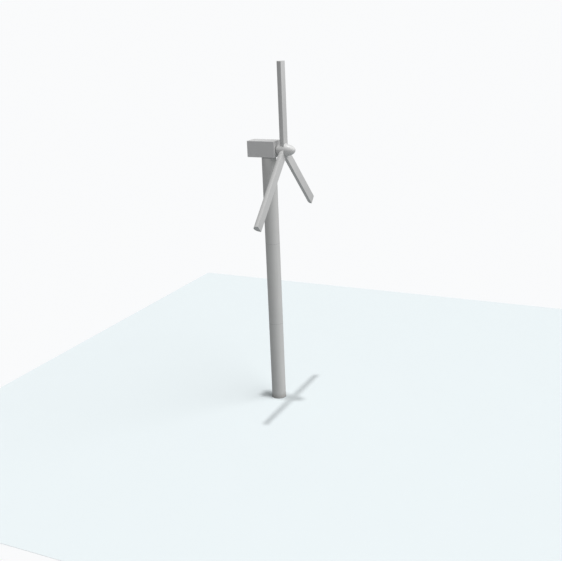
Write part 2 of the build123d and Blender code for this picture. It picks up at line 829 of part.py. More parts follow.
def high_speed_shaft():
    """The fast shaft, with its pinion, out through the gearbox cover to the brake disc."""
    start = high_wheel_rear + high_face_width
    shaft = rod(high_shaft_radius, start - brake_disc_face + brake_disc_thickness)
    pinion = outer_gear(high_pinion_teeth, high_module, high_face_width)
    pinion = Rot(0, 0, high_direction + 180.0 + 180.0 / high_pinion_teeth) * pinion
    return along_x(shaft + pinion, start, high_place)


def gearbox_limits():
    """The gear case's outer limits (y, z) beside the rotor axis."""
    low_tip = low_module * (low_wheel_teeth / 2 + addendum)
    high_tip = high_module * (high_wheel_teeth / 2 + addendum)
    reach = low_tip + gearbox_room + gearbox_wall
    return (-reach, low_distance + high_tip + gearbox_room + gearbox_wall), (-reach, reach)


def gearbox_housing():
    """The gear case, open at the rear, with feet on both beams."""
    y_span, z_span = gearbox_limits()
    z_span = (hub_height + z_span[0], hub_height + z_span[1])
    case = block((gearbox_rear, gearbox_front), y_span, z_span)
    case -= block(
        (gearbox_rear, gearbox_front - gearbox_wall),
        (y_span[0] + gearbox_wall, y_span[1] - gearbox_wall),
        (z_span[0] + gearbox_wall, z_span[1] - gearbox_wall),
    )
    case -= along_x(rod(shaft_radius + running_gap, gearbox_wall), gearbox_front)
    case -= along_x(rod(intermediate_radius + running_gap, gearbox_wall), gearbox_front, intermediate_place)
    foot = gearbox_foot_width / 2
    for side in (-1, 1):
        y = side * beam_spacing / 2
        x_span = (gearbox_rear + gearbox_foot_inset, gearbox_front - gearbox_foot_inset)
        case += block(x_span, (y - foot, y + foot), (beam_top, z_span[0]))
    return case


def gearbox_cover():
    """The rear cover, with the bearings' bores and a long boss for the fast shaft."""
    y_span, z_span = gearbox_limits()
    z_span = (hub_height + z_span[0], hub_height + z_span[1])
    cover = block((cover_rear, gearbox_rear), y_span, z_span)
    cover += along_x(rod(cover_boss_radius, cover_boss_length), cover_rear, high_place)
    cover -= along_x(rod(journal_radius + running_gap, gearbox_wall), gearbox_rear)
    cover -= along_x(rod(intermediate_radius + running_gap, gearbox_wall), gearbox_rear, intermediate_place)
    bore = rod(high_shaft_radius + running_gap, gearbox_wall + cover_boss_length)
    return cover - along_x(bore, gearbox_rear, high_place)


def brake_disc():
    """The brake disc on the hub that couples the fast shaft to the generator."""
    disc = rod(brake_disc_radius, brake_disc_thickness) - rod(high_shaft_radius, brake_disc_thickness)
    hub = tube(brake_hub_radius, high_shaft_radius, brake_hub_length, brake_disc_thickness - brake_hub_length)
    return along_x(disc + hub, brake_disc_face, high_place)


def brake_caliper():
    """The caliper over the disc's rim, on an arm from the gearbox cover."""
    half = caliper_width / 2
    y_rim = high_place[0] - brake_disc_radius
    z_middle = hub_height + high_place[1]
    rear = brake_disc_face - brake_disc_thickness - brake_pad_gap - caliper_cheek
    z_span = (z_middle - half, z_middle + half)
    body = block((rear, cover_rear), (y_rim - caliper_back, y_rim + caliper_reach), z_span)
    slot = block(
        (brake_disc_face - brake_disc_thickness - brake_pad_gap, brake_disc_face + brake_pad_gap),
        (y_rim - caliper_throat, y_rim + caliper_reach),
        z_span,
    )
    return body - slot


def generator_housing():
    """The generator's frame with both end shields and four feet."""
    outer = rod(generator_radius, generator_length)
    outer -= rod(generator_radius - generator_wall, generator_length - 2 * generator_wall, generator_wall)
    outer -= rod(generator_shaft_radius + running_gap, generator_length)
    housing = along_x(outer, generator_front, high_place)
    room = along_x(rod(generator_radius - generator_wall, generator_length), generator_front, high_place)
    z_middle = hub_height + high_place[1]
    half = generator_foot_width / 2
    for x, y in generator_feet_places():
        z_span = (generator_seat, z_middle - generator_radius / 2)
        leg = block((x - half, x + half), (y - half, y + half), z_span)
        housing += leg - room
    return housing


def generator_stator():
    """The wound iron core, tight in the generator's frame."""
    outer = generator_radius - generator_wall
    return along_x(tube(outer, stator_bore, stator_length), stator_front, high_place)


def generator_rotor():
    """The generator's rotor and shaft, joined to the fast shaft in the brake disc's hub."""
    start = brake_disc_face - brake_disc_thickness
    shaft = rod(generator_shaft_radius, start - generator_rear - shaft_end_gap)
    core = rod(stator_bore - air_gap, stator_length, start - stator_front)
    return along_x(shaft + core, start, high_place)


# --- Hub and spinner pieces --------------------------------------------------
def hub_casting():
    """The cast hub: a hollow drum with three necks, each closed by a plate for its pitch drive."""
    hub = along_x(rod(hub_radius, hub_length), hub_front)
    necks = [on_blade(on_pitch_axis(rod(neck_radius, neck_face)), angle) for angle in blade_angles]
    hub += necks
    hub -= along_x(rod(hub_radius - hub_wall, hub_length - 2 * hub_wall), hub_front - hub_wall)
    hub -= along_x(rod(hub_mouth_radius, hub_wall), hub_front)
    hub -= along_x(rod(hub_mouth_radius, hub_wall), shaft_flange_face + hub_wall)
    hub -= [on_blade(on_pitch_axis(rod(pitch_race_radius, neck_face)), angle) for angle in blade_angles]
    for angle in blade_angles:
        plate = rod(pitch_race_radius + drive_plate_overlap, drive_plate_thickness, drive_plate_distance)
        plate -= Pos(pitch_offset, 0, 0) * rod(pitch_nose_radius + pitch_nose_play, neck_face)
        plate -= Pos(-pitch_race_radius / 3, 0, 0) * rod(pitch_race_radius / 3, neck_face)
        hub += on_blade(on_pitch_axis(plate), angle)
    hole = rod(hub_bolt_size / 2 + bolt_hole_play, hub_wall)
    holes = Compound(around_z(hole, hub_bolt_count, hub_bolt_circle))
    return hub - along_x(holes, shaft_flange_face + hub_wall)


def hub_bolts():
    """Bolts that hold the hub to the main shaft's flange, with their nuts inside the hub."""
    bolt = Pos(0, 0, shaft_flange_thickness) * hex_bolt(hub_bolt_size, shaft_flange_thickness + hub_wall)
    return along_x(Compound(around_z(bolt, hub_bolt_count, hub_bolt_circle)), shaft_flange_face)


def egg(shrink):
    """The spinner's body of revolution, smaller by shrink all round."""
    half_length = spinner_half_length - shrink
    radius = spinner_radius - shrink
    outline = Ellipse(half_length, radius) & Pos(0, radius, 0) * Rectangle(2 * half_length, 2 * radius)
    return Pos(spinner_centre, 0, hub_height) * revolve(outline, Axis.X)


def half_oval(shrink, face, start, end):
    """A bar along +Z with half an oval as its section, whose flat face, at x = face, looks at the nose."""
    half = blade_half_chord - shrink
    depth = blade_depth - shrink
    bar = Pos(blade_face, 0, start) * extrude(Ellipse(depth, half), end - start)
    return bar & block((blade_face - depth, face), (-half, half), (start, end))


def spinner_shell():
    """The egg-shaped spinner with three half-oval stubs that lead into the blades."""
    outer = egg(0.0)
    inner = egg(spinner_skin)
    stub = half_oval(0.0, blade_face, 0.0, stub_end)
    stub_room = half_oval(spinner_skin, blade_face - spinner_skin, 0.0, stub_end - spinner_skin)
    root_hole = rod(root_radius + stub_hole_play, 3 * spinner_skin, stub_end - 2 * spinner_skin)
    for angle in blade_angles:
        outer += on_blade(stub, angle)
        inner += on_blade(stub_room, angle)
    shell = outer - inner
    shell -= [on_blade(on_pitch_axis(root_hole), angle) for angle in blade_angles]
    far = spinner_centre + spinner_half_length
    reach = 2 * spinner_radius
    shell &= block((spinner_rear, far + 1.0), (-reach, reach), (hub_height - reach, hub_height + reach))
    bulkhead = tube(spinner_radius, hub_mouth_radius, spinner_bulkhead)
    return shell + (along_x(bulkhead, hub_front + spinner_bulkhead) & egg(spinner_skin / 2))


def pitch_outer_rings():
    """The fixed rings of the three pitch bearings."""
    ring = tube(neck_radius, pitch_race_radius, pitch_ring_height, neck_face)
    return Compound([on_blade(on_pitch_axis(ring), angle) for angle in blade_angles])


def pitch_drives():
    """Three geared motors inside the hub, each on its neck's plate."""
    drive = rod(pitch_motor_radius, pitch_motor_length, drive_plate_distance - pitch_motor_length)
    drive += rod(pitch_nose_radius, pitch_nose_length, drive_plate_distance)
    drive -= rod(pitch_shaft_radius + running_gap, pitch_nose_length, drive_plate_distance)
    placed = on_pitch_axis(Pos(pitch_offset, 0, 0) * drive)
    return Compound([on_blade(placed, angle) for angle in blade_angles])


def pitch_pinion(angle):
    """The pinion of one pitch drive, on its shaft."""
    base = neck_face + pitch_pinion_floor
    pinion = outer_gear(pitch_pinion_teeth, pitch_module, pitch_pinion_height, base)
    shaft_start = drive_plate_distance + pitch_shaft_gap
    pinion += rod(pitch_shaft_radius, base - shaft_start, shaft_start)
    return on_blade(on_pitch_axis(Pos(pitch_offset, 0, 0) * pinion), angle)


# --- Blade pieces ------------------------------------------------------------
def blade_pitch_ring(angle):
    """The turning ring of a pitch bearing, with inward teeth for the pitch pinion."""
    ring = rod(pitch_race_radius - running_gap, pitch_ring_height, neck_face)
    ring -= inner_gear_room(pitch_ring_teeth, pitch_module, pitch_ring_height, neck_face)
    return on_blade(on_pitch_axis(ring), angle)


def blade_root(angle):
    """The round root tube, from the pitch bearing to the end of the spar."""
    root = tube(root_radius, root_radius - root_wall, root_end - root_face, root_face)
    return on_blade(on_pitch_axis(root), angle)


def blade_flat_shell(angle, tip):
    """The flat skin that looks towards the nose."""
    half = blade_half_chord
    return on_blade(block((blade_face - blade_skin, blade_face), (-half, half), (blade_start, tip)), angle)


def blade_round_shell(angle, tip):
    """The rounded skin, with the rib around the root and the rib that closes the tip."""
    front = blade_face - blade_skin
    skin = half_oval(0.0, front, blade_start, tip)
    skin -= half_oval(blade_skin, front, blade_start + blade_skin, tip - blade_skin)
    return on_blade(skin - on_pitch_axis(rod(root_radius, blade_skin, blade_start)), angle)


def blade_spar(angle, tip):
    """The box beam inside the blade, from the root tube's end nearly to the tip."""
    half = spar_width / 2
    room_half = blade_half_chord - blade_skin
    room_depth = blade_depth - blade_skin
    rear = blade_face - room_depth * math.sqrt(1 - (half / room_half) ** 2) + spar_bond
    front = blade_face - blade_skin
    end = tip - spar_tip_gap
    inner = half - spar_wall
    spar = block((rear, front), (-half, half), (root_end, end))
    room = block((rear + spar_wall, front - spar_wall), (-inner, inner), (root_end + spar_wall, end))
    return on_blade(spar - room, angle)


# --- Every node --------------------------------------------------------------
def all_nodes():
    """Node names and their shapes."""
    nodes = {
        "tower_lower_section": tower_lower_section(),
        "tower_middle_section": tower_middle_section(),
        "tower_upper_section": tower_upper_section(),
        "flange_bolts": flange_bolts(),
        "door_frame": door_frame(),
        "door_hinge_pins": door_hinge_pins(),
        "tower_door": tower_door(),
        "door_handle": door_handle(),
        "tower_platforms": tower_platforms(),
        "ladder": ladder(),
        "yaw_ring_gear": yaw_ring_gear(),
        "yaw_slide_ring": yaw_slide_ring(),
        "yaw_drives": yaw_drives(),
        "yaw_pinion_left": yaw_pinion(-1),
        "yaw_pinion_right": yaw_pinion(1),
        "bedplate": bedplate(),
        "nacelle_floor": nacelle_floor(),
        "nacelle_left_side": nacelle_side(-1),
        "nacelle_right_side": nacelle_side(1),
        "nacelle_roof": nacelle_roof(),
        "nacelle_front_panel": nacelle_front_panel(),
        "nacelle_rear_panel": nacelle_rear_panel(),
        "rear_hatch": rear_hatch(),
        "control_cabinet": control_cabinet(),
        "main_bearing_housing": main_bearing_housing(),
        "main_shaft": main_shaft(),
        "low_speed_gear": low_speed_gear(),
        "intermediate_shaft": intermediate_shaft(),
        "high_speed_shaft": high_speed_shaft(),
        "gearbox_housing": gearbox_housing(),
        "gearbox_cover": gearbox_cover(),
        "brake_disc": brake_disc(),
        "brake_caliper": brake_caliper(),
        "generator_housing": generator_housing(),
        "generator_stator": generator_stator(),
        "generator_rotor": generator_rotor(),
        "hub_casting": hub_casting(),
        "hub_bolts": hub_bolts(),
        "spinner_shell": spinner_shell(),
        "pitch_outer_rings": pitch_outer_rings(),
        "pitch_drives": pitch_drives(),
    }
    for number, (angle, tip) in enumerate(zip(blade_angles, blade_tips), start=1):
        nodes[f"pitch_pinion_{number}"] = pitch_pinion(angle)
        nodes[f"blade_{number}_pitch_ring"] = blade_pitch_ring(angle)
        nodes[f"blade_{number}_root"] = blade_root(angle)
        nodes[f"blade_{number}_flat_shell"] = blade_flat_shell(angle, tip)
        nodes[f"blade_{number}_round_shell"] = blade_round_shell(angle, tip)
        nodes[f"blade_{number}_spar"] = blade_spar(angle, tip)
    return nodes


os.makedirs("parts", exist_ok=True)
for name, shape in all_nodes().items():
    export_step(shape, f"parts/{name}.step")
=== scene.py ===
"""Visual model of a three-blade wind turbine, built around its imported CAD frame."""

import json
import logging
import math
from dataclasses import dataclass, field
from enum import Enum
from functools import cache
from typing import Sequence, Union

import bmesh
import bpy
import numpy as np
from mathutils import Matrix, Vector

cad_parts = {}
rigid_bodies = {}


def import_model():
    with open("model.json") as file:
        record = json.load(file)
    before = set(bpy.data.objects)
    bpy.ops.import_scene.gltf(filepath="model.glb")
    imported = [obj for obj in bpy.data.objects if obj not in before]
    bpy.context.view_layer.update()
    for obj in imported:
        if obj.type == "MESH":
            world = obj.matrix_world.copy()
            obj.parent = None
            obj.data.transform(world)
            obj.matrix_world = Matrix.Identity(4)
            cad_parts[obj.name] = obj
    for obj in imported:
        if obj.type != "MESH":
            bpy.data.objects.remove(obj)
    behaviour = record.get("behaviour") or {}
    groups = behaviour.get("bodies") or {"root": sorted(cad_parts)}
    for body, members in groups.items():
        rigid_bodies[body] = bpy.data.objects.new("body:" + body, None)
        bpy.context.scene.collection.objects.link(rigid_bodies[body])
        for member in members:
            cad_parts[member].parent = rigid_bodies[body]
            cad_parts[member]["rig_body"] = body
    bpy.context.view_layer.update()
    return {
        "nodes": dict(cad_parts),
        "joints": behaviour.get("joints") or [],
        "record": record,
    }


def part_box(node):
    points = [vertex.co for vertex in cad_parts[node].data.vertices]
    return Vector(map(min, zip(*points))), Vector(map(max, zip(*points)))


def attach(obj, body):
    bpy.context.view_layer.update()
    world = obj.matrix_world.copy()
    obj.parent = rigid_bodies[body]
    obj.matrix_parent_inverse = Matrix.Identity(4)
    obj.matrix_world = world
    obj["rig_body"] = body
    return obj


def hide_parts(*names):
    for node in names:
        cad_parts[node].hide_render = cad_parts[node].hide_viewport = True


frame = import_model()
log = logging.getLogger("turbine")

Number = Union[int, float]
Colour = tuple[float, float, float]


class Body(Enum):
    """The moving bodies that visible pieces ride on."""

    TOWER = "tower"
    DOOR = "door"
    NACELLE = "nacelle"
    HATCH = "hatch"
    ROTOR = "rotor"


class Shading(Enum):
    """How far two faces may turn from each other and still be shaded as one curve, in degrees."""

    FLAT = 1.0
    CREASED = 32.0
    ROUND = 60.0


# --- Shader graph ------------------------------------------------------------
class Value:
    """A number that varies over a surface; arithmetic on it adds Math nodes to its graph."""

    def __init__(self, graph: "Graph", socket: bpy.types.NodeSocket) -> None:
        """Wraps one output socket.

        Args:
            graph: The node tree that the socket is in.
            socket: The output that gives the number.
        """
        self.graph = graph
        self.socket = socket

    def _math(self, operation: str, *operands: Union["Value", Number]) -> "Value":
        """Adds one Math node.

        Args:
            operation: The node's operation, such as MULTIPLY.
            *operands: Its inputs, in order.

        Returns:
            The node's output.
        """
        inputs = dict(enumerate(operands))
        return self.graph.value("ShaderNodeMath", {"operation": operation}, inputs)

    def __add__(self, other: Union["Value", Number]) -> "Value":
        """Sum."""
        return self._math("ADD", self, other)

    __radd__ = __add__

    def __mul__(self, other: Union["Value", Number]) -> "Value":
        """Product."""
        return self._math("MULTIPLY", self, other)

    __rmul__ = __mul__

    def __sub__(self, other: Union["Value", Number]) -> "Value":
        """Difference."""
        return self._math("SUBTRACT", self, other)

    def __rsub__(self, other: Number) -> "Value":
        """Difference, with a plain number first."""
        return self._math("SUBTRACT", other, self)

    def __truediv__(self, other: Union["Value", Number]) -> "Value":
        """Quotient."""
        return self._math("DIVIDE", self, other)

    def ramp(self, low: float, high: float) -> "Value":
        """0 below low, 1 above high and a smooth S between them.

        Args:
            low: Where the ramp starts.
            high: Where it ends.

        Returns:
            The ramped number.
        """
        settings = {"interpolation_type": "SMOOTHSTEP"}
        return self.graph.value("ShaderNodeMapRange", settings, {0: self, 1: low, 2: high, 3: 0.0, 4: 1.0})


class Graph:
    """The node tree of one material."""

    def __init__(self, name: str) -> None:
        """Starts a material with a Principled shader.

        Args:
            name: The material's name.
        """
        self.material = bpy.data.materials.new(name)
        self.material.use_nodes = True
        self.tree = self.material.node_tree
        self.shader = self.tree.nodes["Principled BSDF"]

    def node(self, kind: str, settings: dict | None = None, inputs: dict | None = None) -> bpy.types.Node:
        """Adds a node, sets its settings and then its inputs.

        Args:
            kind: The node's type name.
            settings: Attributes of the node, set first.
            inputs: Values or links, by input name or number.

        Returns:
            The new node.
        """
        made = self.tree.nodes.new(kind)
        for key, setting in (settings or {}).items():
            setattr(made, key, setting)
        for key, source in (inputs or {}).items():
            self.feed(made.inputs[key], source)
        return made

    def feed(self, target: bpy.types.NodeSocket, source: object) -> None:
        """Links or sets one input.

        Args:
            target: The input socket.
            source: A Value, a socket, a number or a tuple.
        """
        if isinstance(source, Value):
            source = source.socket
        if isinstance(source, bpy.types.NodeSocket):
            self.tree.links.new(source, target)
        else:
            target.default_value = source

    def value(self, kind: str, settings: dict | None = None, inputs: dict | None = None) -> Value:
        """Adds a node and wraps its first output; takes what node() takes."""
        return Value(self, self.node(kind, settings, inputs).outputs[0])

    def place(self, stretch: Sequence[float] = (1.0, 1.0, 1.0)) -> bpy.types.NodeSocket:
        """Object coordinates in metres, stretched.

        Args:
            stretch: Factor on each axis; a small factor draws a pattern out along that axis.

        Returns:
            The vector output.
        """
        coordinates = self.node("ShaderNodeTexCoord").outputs["Object"]
        mapping = self.node("ShaderNodeMapping", None, {"Vector": coordinates, "Scale": tuple(stretch)})
        return mapping.outputs["Vector"]

    def height(self) -> Value:
        """Height above the base flange, in metres."""
        split = self.node("ShaderNodeSeparateXYZ", None, {0: self.place()})
        return Value(self, split.outputs["Z"])

    def noise(self, scale: float, stretch: Sequence[float] = (1.0, 1.0, 1.0), detail: float = 3.0) -> Value:
        """Soft noise between 0 and 1.

        Args:
            scale: Features per metre.
            stretch: Factor on each axis, as in place().
            detail: Octaves.

        Returns:
            The noise.
        """
        inputs = {"Vector": self.place(stretch), "Scale": scale, "Detail": detail, "Roughness": 0.55}
        return self.value("ShaderNodeTexNoise", None, inputs)

    def mix(self, factor: Value, first: object, second: object) -> bpy.types.NodeSocket:
        """Mixes two colours.

        Args:
            factor: 0 gives the first colour and 1 the second.
            first: A colour or a colour output.
            second: A colour or a colour output.

        Returns:
            The mixed colour's output.
        """
        made = self.node("ShaderNodeMix", {"data_type": "RGBA"}, {0: factor})
        for number, colour in ((6, first), (7, second)):
            if isinstance(colour, tuple):
                colour = (*colour[:3], 1.0)
            self.feed(made.inputs[number], colour)
        return made.outputs[2]

    def bump(self, height: Value, depth: float, strength: float = 1.0) -> None:
        """Feeds a Bump node to the shader's normal.

        Args:
            height: The pattern, from 0 to 1.
            depth: The height of 1, in metres.
            strength: How much of it shows.
        """
        made = self.node("ShaderNodeBump", None, {"Strength": strength, "Distance": depth, "Height": height})
        self.feed(self.shader.inputs["Normal"], made.outputs["Normal"])


def tinted(colour: Colour, factor: float) -> Colour:
    """The colour, darker or lighter by a factor."""
    return tuple(min(1.0, channel * factor) for channel in colour)


# --- Finishes ----------------------------------------------------------------
@dataclass(frozen=True)
class Finish:
    """What every finish has: a name, a colour and how rough it is."""

    name: str
    colour: Colour
    roughness: float = 0.45

    def dress(self, graph: Graph) -> None:
        """Adds the finish's own nodes; the plain finish has a cloudy tone and a fine grain."""
        cloud = graph.noise(1.5)
        tone = graph.mix(cloud, tinted(self.colour, 0.93), self.colour)
        graph.feed(graph.shader.inputs["Base Color"], tone)
        graph.feed(graph.shader.inputs["Roughness"], self.roughness + (graph.noise(9.0) - 0.5) * 0.12)
        graph.bump(graph.noise(140.0), 0.0006, 0.25)

    @cache
    def material(self) -> bpy.types.Material:
        """The finished material, made once per finish.

        It is kept by finish and not by name, because the frame's plain materials have the slots' names.
        """
        graph = Graph(f"{self.name}_finish")
        self.dress(graph)
        return graph.material


@dataclass(frozen=True)
class TowerPaint(Finish):
    """Satin coating on rolled plate: cloudy tone, faint rain streaks, dust at the foot, orange peel."""

    streak: float = 0.09
    dust: Colour = (0.20, 0.185, 0.16)
    dust_height: float = 1.6

    def dress(self, graph: Graph) -> None:
        """Adds the coating's nodes.

        The tone is a broad noise. Streaks are a noise drawn out along Z. Dust fades with height and is
        broken up.
        """
        cloud = graph.noise(0.35, detail=4.0)
        streak = graph.noise(2.4, (1.0, 1.0, 0.035), 5.0).ramp(0.46, 0.8)
        tone = graph.mix(cloud, tinted(self.colour, 0.95), tinted(self.colour, 1.03))
        tone = graph.mix(streak * self.streak, tone, tinted(self.colour, 0.55))
        fade = 1.0 - graph.height().ramp(0.05, self.dust_height)
        dusty = graph.mix(fade * graph.noise(3.0, (1.0, 1.0, 0.4), 6.0) * 0.75, tone, self.dust)
        graph.feed(graph.shader.inputs["Base Color"], dusty)
        rough = self.roughness + (graph.noise(1.1, detail=5.0) - 0.5) * 0.14 + streak * 0.08 + fade * 0.12
        graph.feed(graph.shader.inputs["Roughness"], rough)
        waviness = graph.noise(1.7, (1.0, 1.0, 0.5), 1.0) * 0.75 + graph.noise(130.0, detail=2.0) * 0.25
        graph.bump(waviness, 0.002, 0.35)


@dataclass(frozen=True)
class Gelcoat(Finish):
    """Moulded glass fibre with a gelcoat: a little glossier, with soft grime streaks and print-through."""

    grime: Colour = (0.17, 0.165, 0.15)
    grime_share: float = 0.10
    coat: float = 0.15

    def dress(self, graph: Graph) -> None:
        """Adds the gelcoat's nodes.

        The fibre print is a fine crossed wave. Grime is a vertical streak noise gated by a broad noise.
        """
        cloud = graph.noise(0.5, detail=3.0)
        tone = graph.mix(cloud, tinted(self.colour, 0.96), tinted(self.colour, 1.02))
        streak = graph.noise(3.2, (1.0, 1.0, 0.08), 6.0).ramp(0.5, 0.85) * graph.noise(0.6).ramp(0.35, 0.75)
        graph.feed(graph.shader.inputs["Base Color"], graph.mix(streak * self.grime_share, tone, self.grime))
        rough = self.roughness + (graph.noise(2.1, detail=5.0) - 0.5) * 0.12 + streak * 0.15
        graph.feed(graph.shader.inputs["Roughness"], rough)
        graph.shader.inputs["Coat Weight"].default_value = self.coat
        graph.shader.inputs["Coat Roughness"].default_value = 0.25
        across, upright = graph.noise(45.0, (1.0, 0.25, 1.0), 2.0), graph.noise(45.0, (1.0, 1.0, 0.25), 2.0)
        weave = across * 0.5 + upright * 0.5
        graph.bump(weave * 0.3 + graph.noise(0.9, detail=1.0) * 0.7, 0.002, 0.22)


@dataclass(frozen=True)
class Steel(Finish):
    """Bare or galvanised steel: metallic, with a turned or spangled grain."""

    grain: float = 60.0
    grain_stretch: tuple[float, float, float] = (0.08, 1.0, 1.0)
    stain: Colour = (0.16, 0.13, 0.10)
    stain_share: float = 0.18

    def dress(self, graph: Graph) -> None:
        """Adds the metal's nodes: a stretched grain in tone, roughness and bump, and soft oil stains."""
        grain = graph.noise(self.grain, self.grain_stretch, 4.0)
        stain = graph.noise(2.3, detail=6.0).ramp(0.5, 0.8)
        tone = graph.mix(grain, tinted(self.colour, 0.86), self.colour)
        graph.feed(graph.shader.inputs["Base Color"], graph.mix(stain * self.stain_share, tone, self.stain))
        graph.shader.inputs["Metallic"].default_value = 1.0
        rough = self.roughness + (grain - 0.5) * 0.18 + stain * 0.15
        graph.feed(graph.shader.inputs["Roughness"], rough)
        graph.bump(grain, 0.0005, 0.3)


@dataclass(frozen=True)
class CastPaint(Finish):
    """Thick machine enamel over a rough casting: pitted bump, chips of primer, oily patches."""

    primer: Colour = (0.21, 0.09, 0.05)
    chip: float = 0.5

    def dress(self, graph: Graph) -> None:
        """Adds the enamel's nodes: chips where a fine noise peaks, and a coarse sand-cast bump."""
        chips = graph.noise(34.0, detail=6.0).ramp(0.70, 0.74) * graph.noise(1.6).ramp(0.45, 0.65) * self.chip
        tone = graph.mix(graph.noise(1.2, detail=4.0), tinted(self.colour, 0.88), tinted(self.colour, 1.05))
        graph.feed(graph.shader.inputs["Base Color"], graph.mix(chips, tone, self.primer))
        rough = self.roughness + (graph.noise(3.0, detail=5.0) - 0.5) * 0.2 + chips * 0.3
        graph.feed(graph.shader.inputs["Roughness"], rough)
        graph.bump(graph.noise(75.0, detail=5.0) * 0.7 + graph.noise(12.0) * 0.3, 0.0015, 0.4)


@dataclass(frozen=True)
class Laminate(Finish):
    """Unpainted glass-fibre laminate: a crossed roving pattern and a resin-rich, uneven tone."""

    def dress(self, graph: Graph) -> None:
        """Adds the laminate's nodes: two wave patterns at right angles, broken by noise."""
        waves = []
        for direction in ("X", "Z"):
            inputs = {"Vector": graph.place(), "Scale": 24.0, "Distortion": 1.2, "Detail": 2.0}
            settings = {"wave_type": "BANDS", "bands_direction": direction}
            node = graph.node("ShaderNodeTexWave", settings, inputs)
            waves.append(Value(graph, node.outputs["Fac"]))
        weave = waves[0] * waves[1]
        tone = graph.mix(weave * 0.6 + graph.noise(2.0) * 0.4, tinted(self.colour, 0.78), self.colour)
        graph.feed(graph.shader.inputs["Base Color"], tone)
        graph.feed(graph.shader.inputs["Roughness"], self.roughness + weave * 0.15)
        graph.bump(weave, 0.0012, 0.4)


@dataclass(frozen=True)
class Rubber(Finish):
    """Weathered black rubber, chalky at its high spots."""

    chalk: Colour = (0.16, 0.16, 0.155)

    def dress(self, graph: Graph) -> None:
        """Adds the rubber's nodes: a chalky bloom and a fine grain."""
        bloom = graph.noise(6.0, detail=6.0).ramp(0.45, 0.85)
        graph.feed(graph.shader.inputs["Base Color"], graph.mix(bloom * 0.5, self.colour, self.chalk))
        graph.feed(graph.shader.inputs["Roughness"], self.roughness + bloom * 0.15)
        graph.bump(graph.noise(220.0, detail=3.0), 0.0008, 0.4)


@dataclass(frozen=True)
class Winding(Finish):
    """Varnished iron core with laminations stacked along the shaft."""

    copper: Colour = (0.36, 0.15, 0.06)

    def dress(self, graph: Graph) -> None:
        """Adds the core's nodes: fine bands along X for the stacked sheets, copper in the broad noise."""
        inputs = {"Vector": graph.place(), "Scale": 90.0, "Distortion": 0.0}
        bands = graph.node("ShaderNodeTexWave", {"wave_type": "BANDS", "bands_direction": "X"}, inputs)
        stack = Value(graph, bands.outputs["Fac"])
        tone = graph.mix(graph.noise(8.0).ramp(0.5, 0.7), self.colour, self.copper)
        graph.feed(graph.shader.inputs["Base Color"], graph.mix(stack * 0.35, tone, tinted(self.colour, 0.6)))
        graph.shader.inputs["Metallic"].default_value = 0.6
        graph.feed(graph.shader.inputs["Roughness"], self.roughness + stack * 0.1)
        graph.bump(stack, 0.0008, 0.5)


TOWER_PAINT = TowerPaint("tower_paint", (0.65, 0.65, 0.64), 0.46)
SHELL_GELCOAT = Gelcoat("shell_gelcoat", (0.67, 0.67, 0.67), 0.42)
BLADE_GELCOAT = Gelcoat("blade_gelcoat", (0.655, 0.655, 0.65), 0.40, grime_share=0.06)
BOLT_STEEL = Steel("bolt_steel", (0.46, 0.46, 0.47), 0.42, grain=90.0, grain_stretch=(1.0, 1.0, 1.0))
MACHINED = Steel("machined_steel", (0.55, 0.55, 0.56), 0.30)
GALVANISED = Steel("galvanised", (0.50, 0.51, 0.52), 0.48, grain=22.0, grain_stretch=(1.0, 1.0, 1.0))
ALUMINIUM = Steel("aluminium", (0.62, 0.62, 0.63), 0.38, grain=120.0, grain_stretch=(1.0, 1.0, 0.05))
HUB_PAINT = CastPaint("cast_paint", (0.30, 0.31, 0.32), 0.5)
FRAME_PAINT = CastPaint("frame_paint", (0.27, 0.28, 0.29), 0.5)
GEARBOX_PAINT = CastPaint("gearbox_paint", (0.12, 0.17, 0.21), 0.36)
MOTOR_PAINT = CastPaint("motor_paint", (0.07, 0.12, 0.19), 0.38)
CALIPER_PAINT = CastPaint("caliper_paint", (0.33, 0.035, 0.02), 0.35)
CABINET_PAINT = Finish("cabinet_paint", (0.52, 0.52, 0.49), 0.42)
CORE = Winding("core_iron", (0.10, 0.085, 0.07), 0.45)
LAMINATE = Laminate("spar_laminate", (0.36, 0.37, 0.24), 0.35)
SEAL = Rubber("seal_rubber", (0.025, 0.025, 0.026), 0.75)
RECEPTOR = Steel("receptor", (0.66, 0.66, 0.67), 0.25, grain=200.0)
EDGE_FILM = Gelcoat("edge_film", (0.64, 0.64, 0.635), 0.30, grime_share=0.12)

FINISH_OF_SLOT = {
    finish.name: finish
    for finish in (
        TOWER_PAINT, SHELL_GELCOAT, BLADE_GELCOAT, BOLT_STEEL, MACHINED, GALVANISED, ALUMINIUM, HUB_PAINT,
        FRAME_PAINT, GEARBOX_PAINT, MOTOR_PAINT, CALIPER_PAINT, CABINET_PAINT, CORE, LAMINATE,
    )
}


# --- Surfaces ----------------------------------------------------------------
@dataclass
class Surface:
    """Points and faces of a mesh, before it becomes an object."""

    points: np.ndarray
    faces: np.ndarray

    def __add__(self, other: "Surface") -> "Surface":
        """Both surfaces as one."""
        moved = other.faces + len(self.points)
        return Surface(np.vstack((self.points, other.points)), np.vstack((self.faces, moved)))

    def moved(self, matrix: Matrix) -> "Surface":
        """The surface after a 4 by 4 transform: each point is turned and then shifted."""
        values = np.array(matrix)
        return Surface(self.points @ values[:3, :3].T + values[:3, 3], self.faces)

    def repeated(self, shifts: np.ndarray) -> "Surface":
        """Copies of the surface, one at each shift.

        Args:
            shifts: An array of (x, y, z) shifts, in metres.

        Returns:
            All copies as one surface; copy k has its points moved by shift k.
        """
        count = len(self.points)
        points = (self.points[None] + shifts[:, None]).reshape(-1, 3)
        faces = (self.faces[None] + count * np.arange(len(shifts))[:, None, None]).reshape(-1, 4)
        return Surface(points, faces)


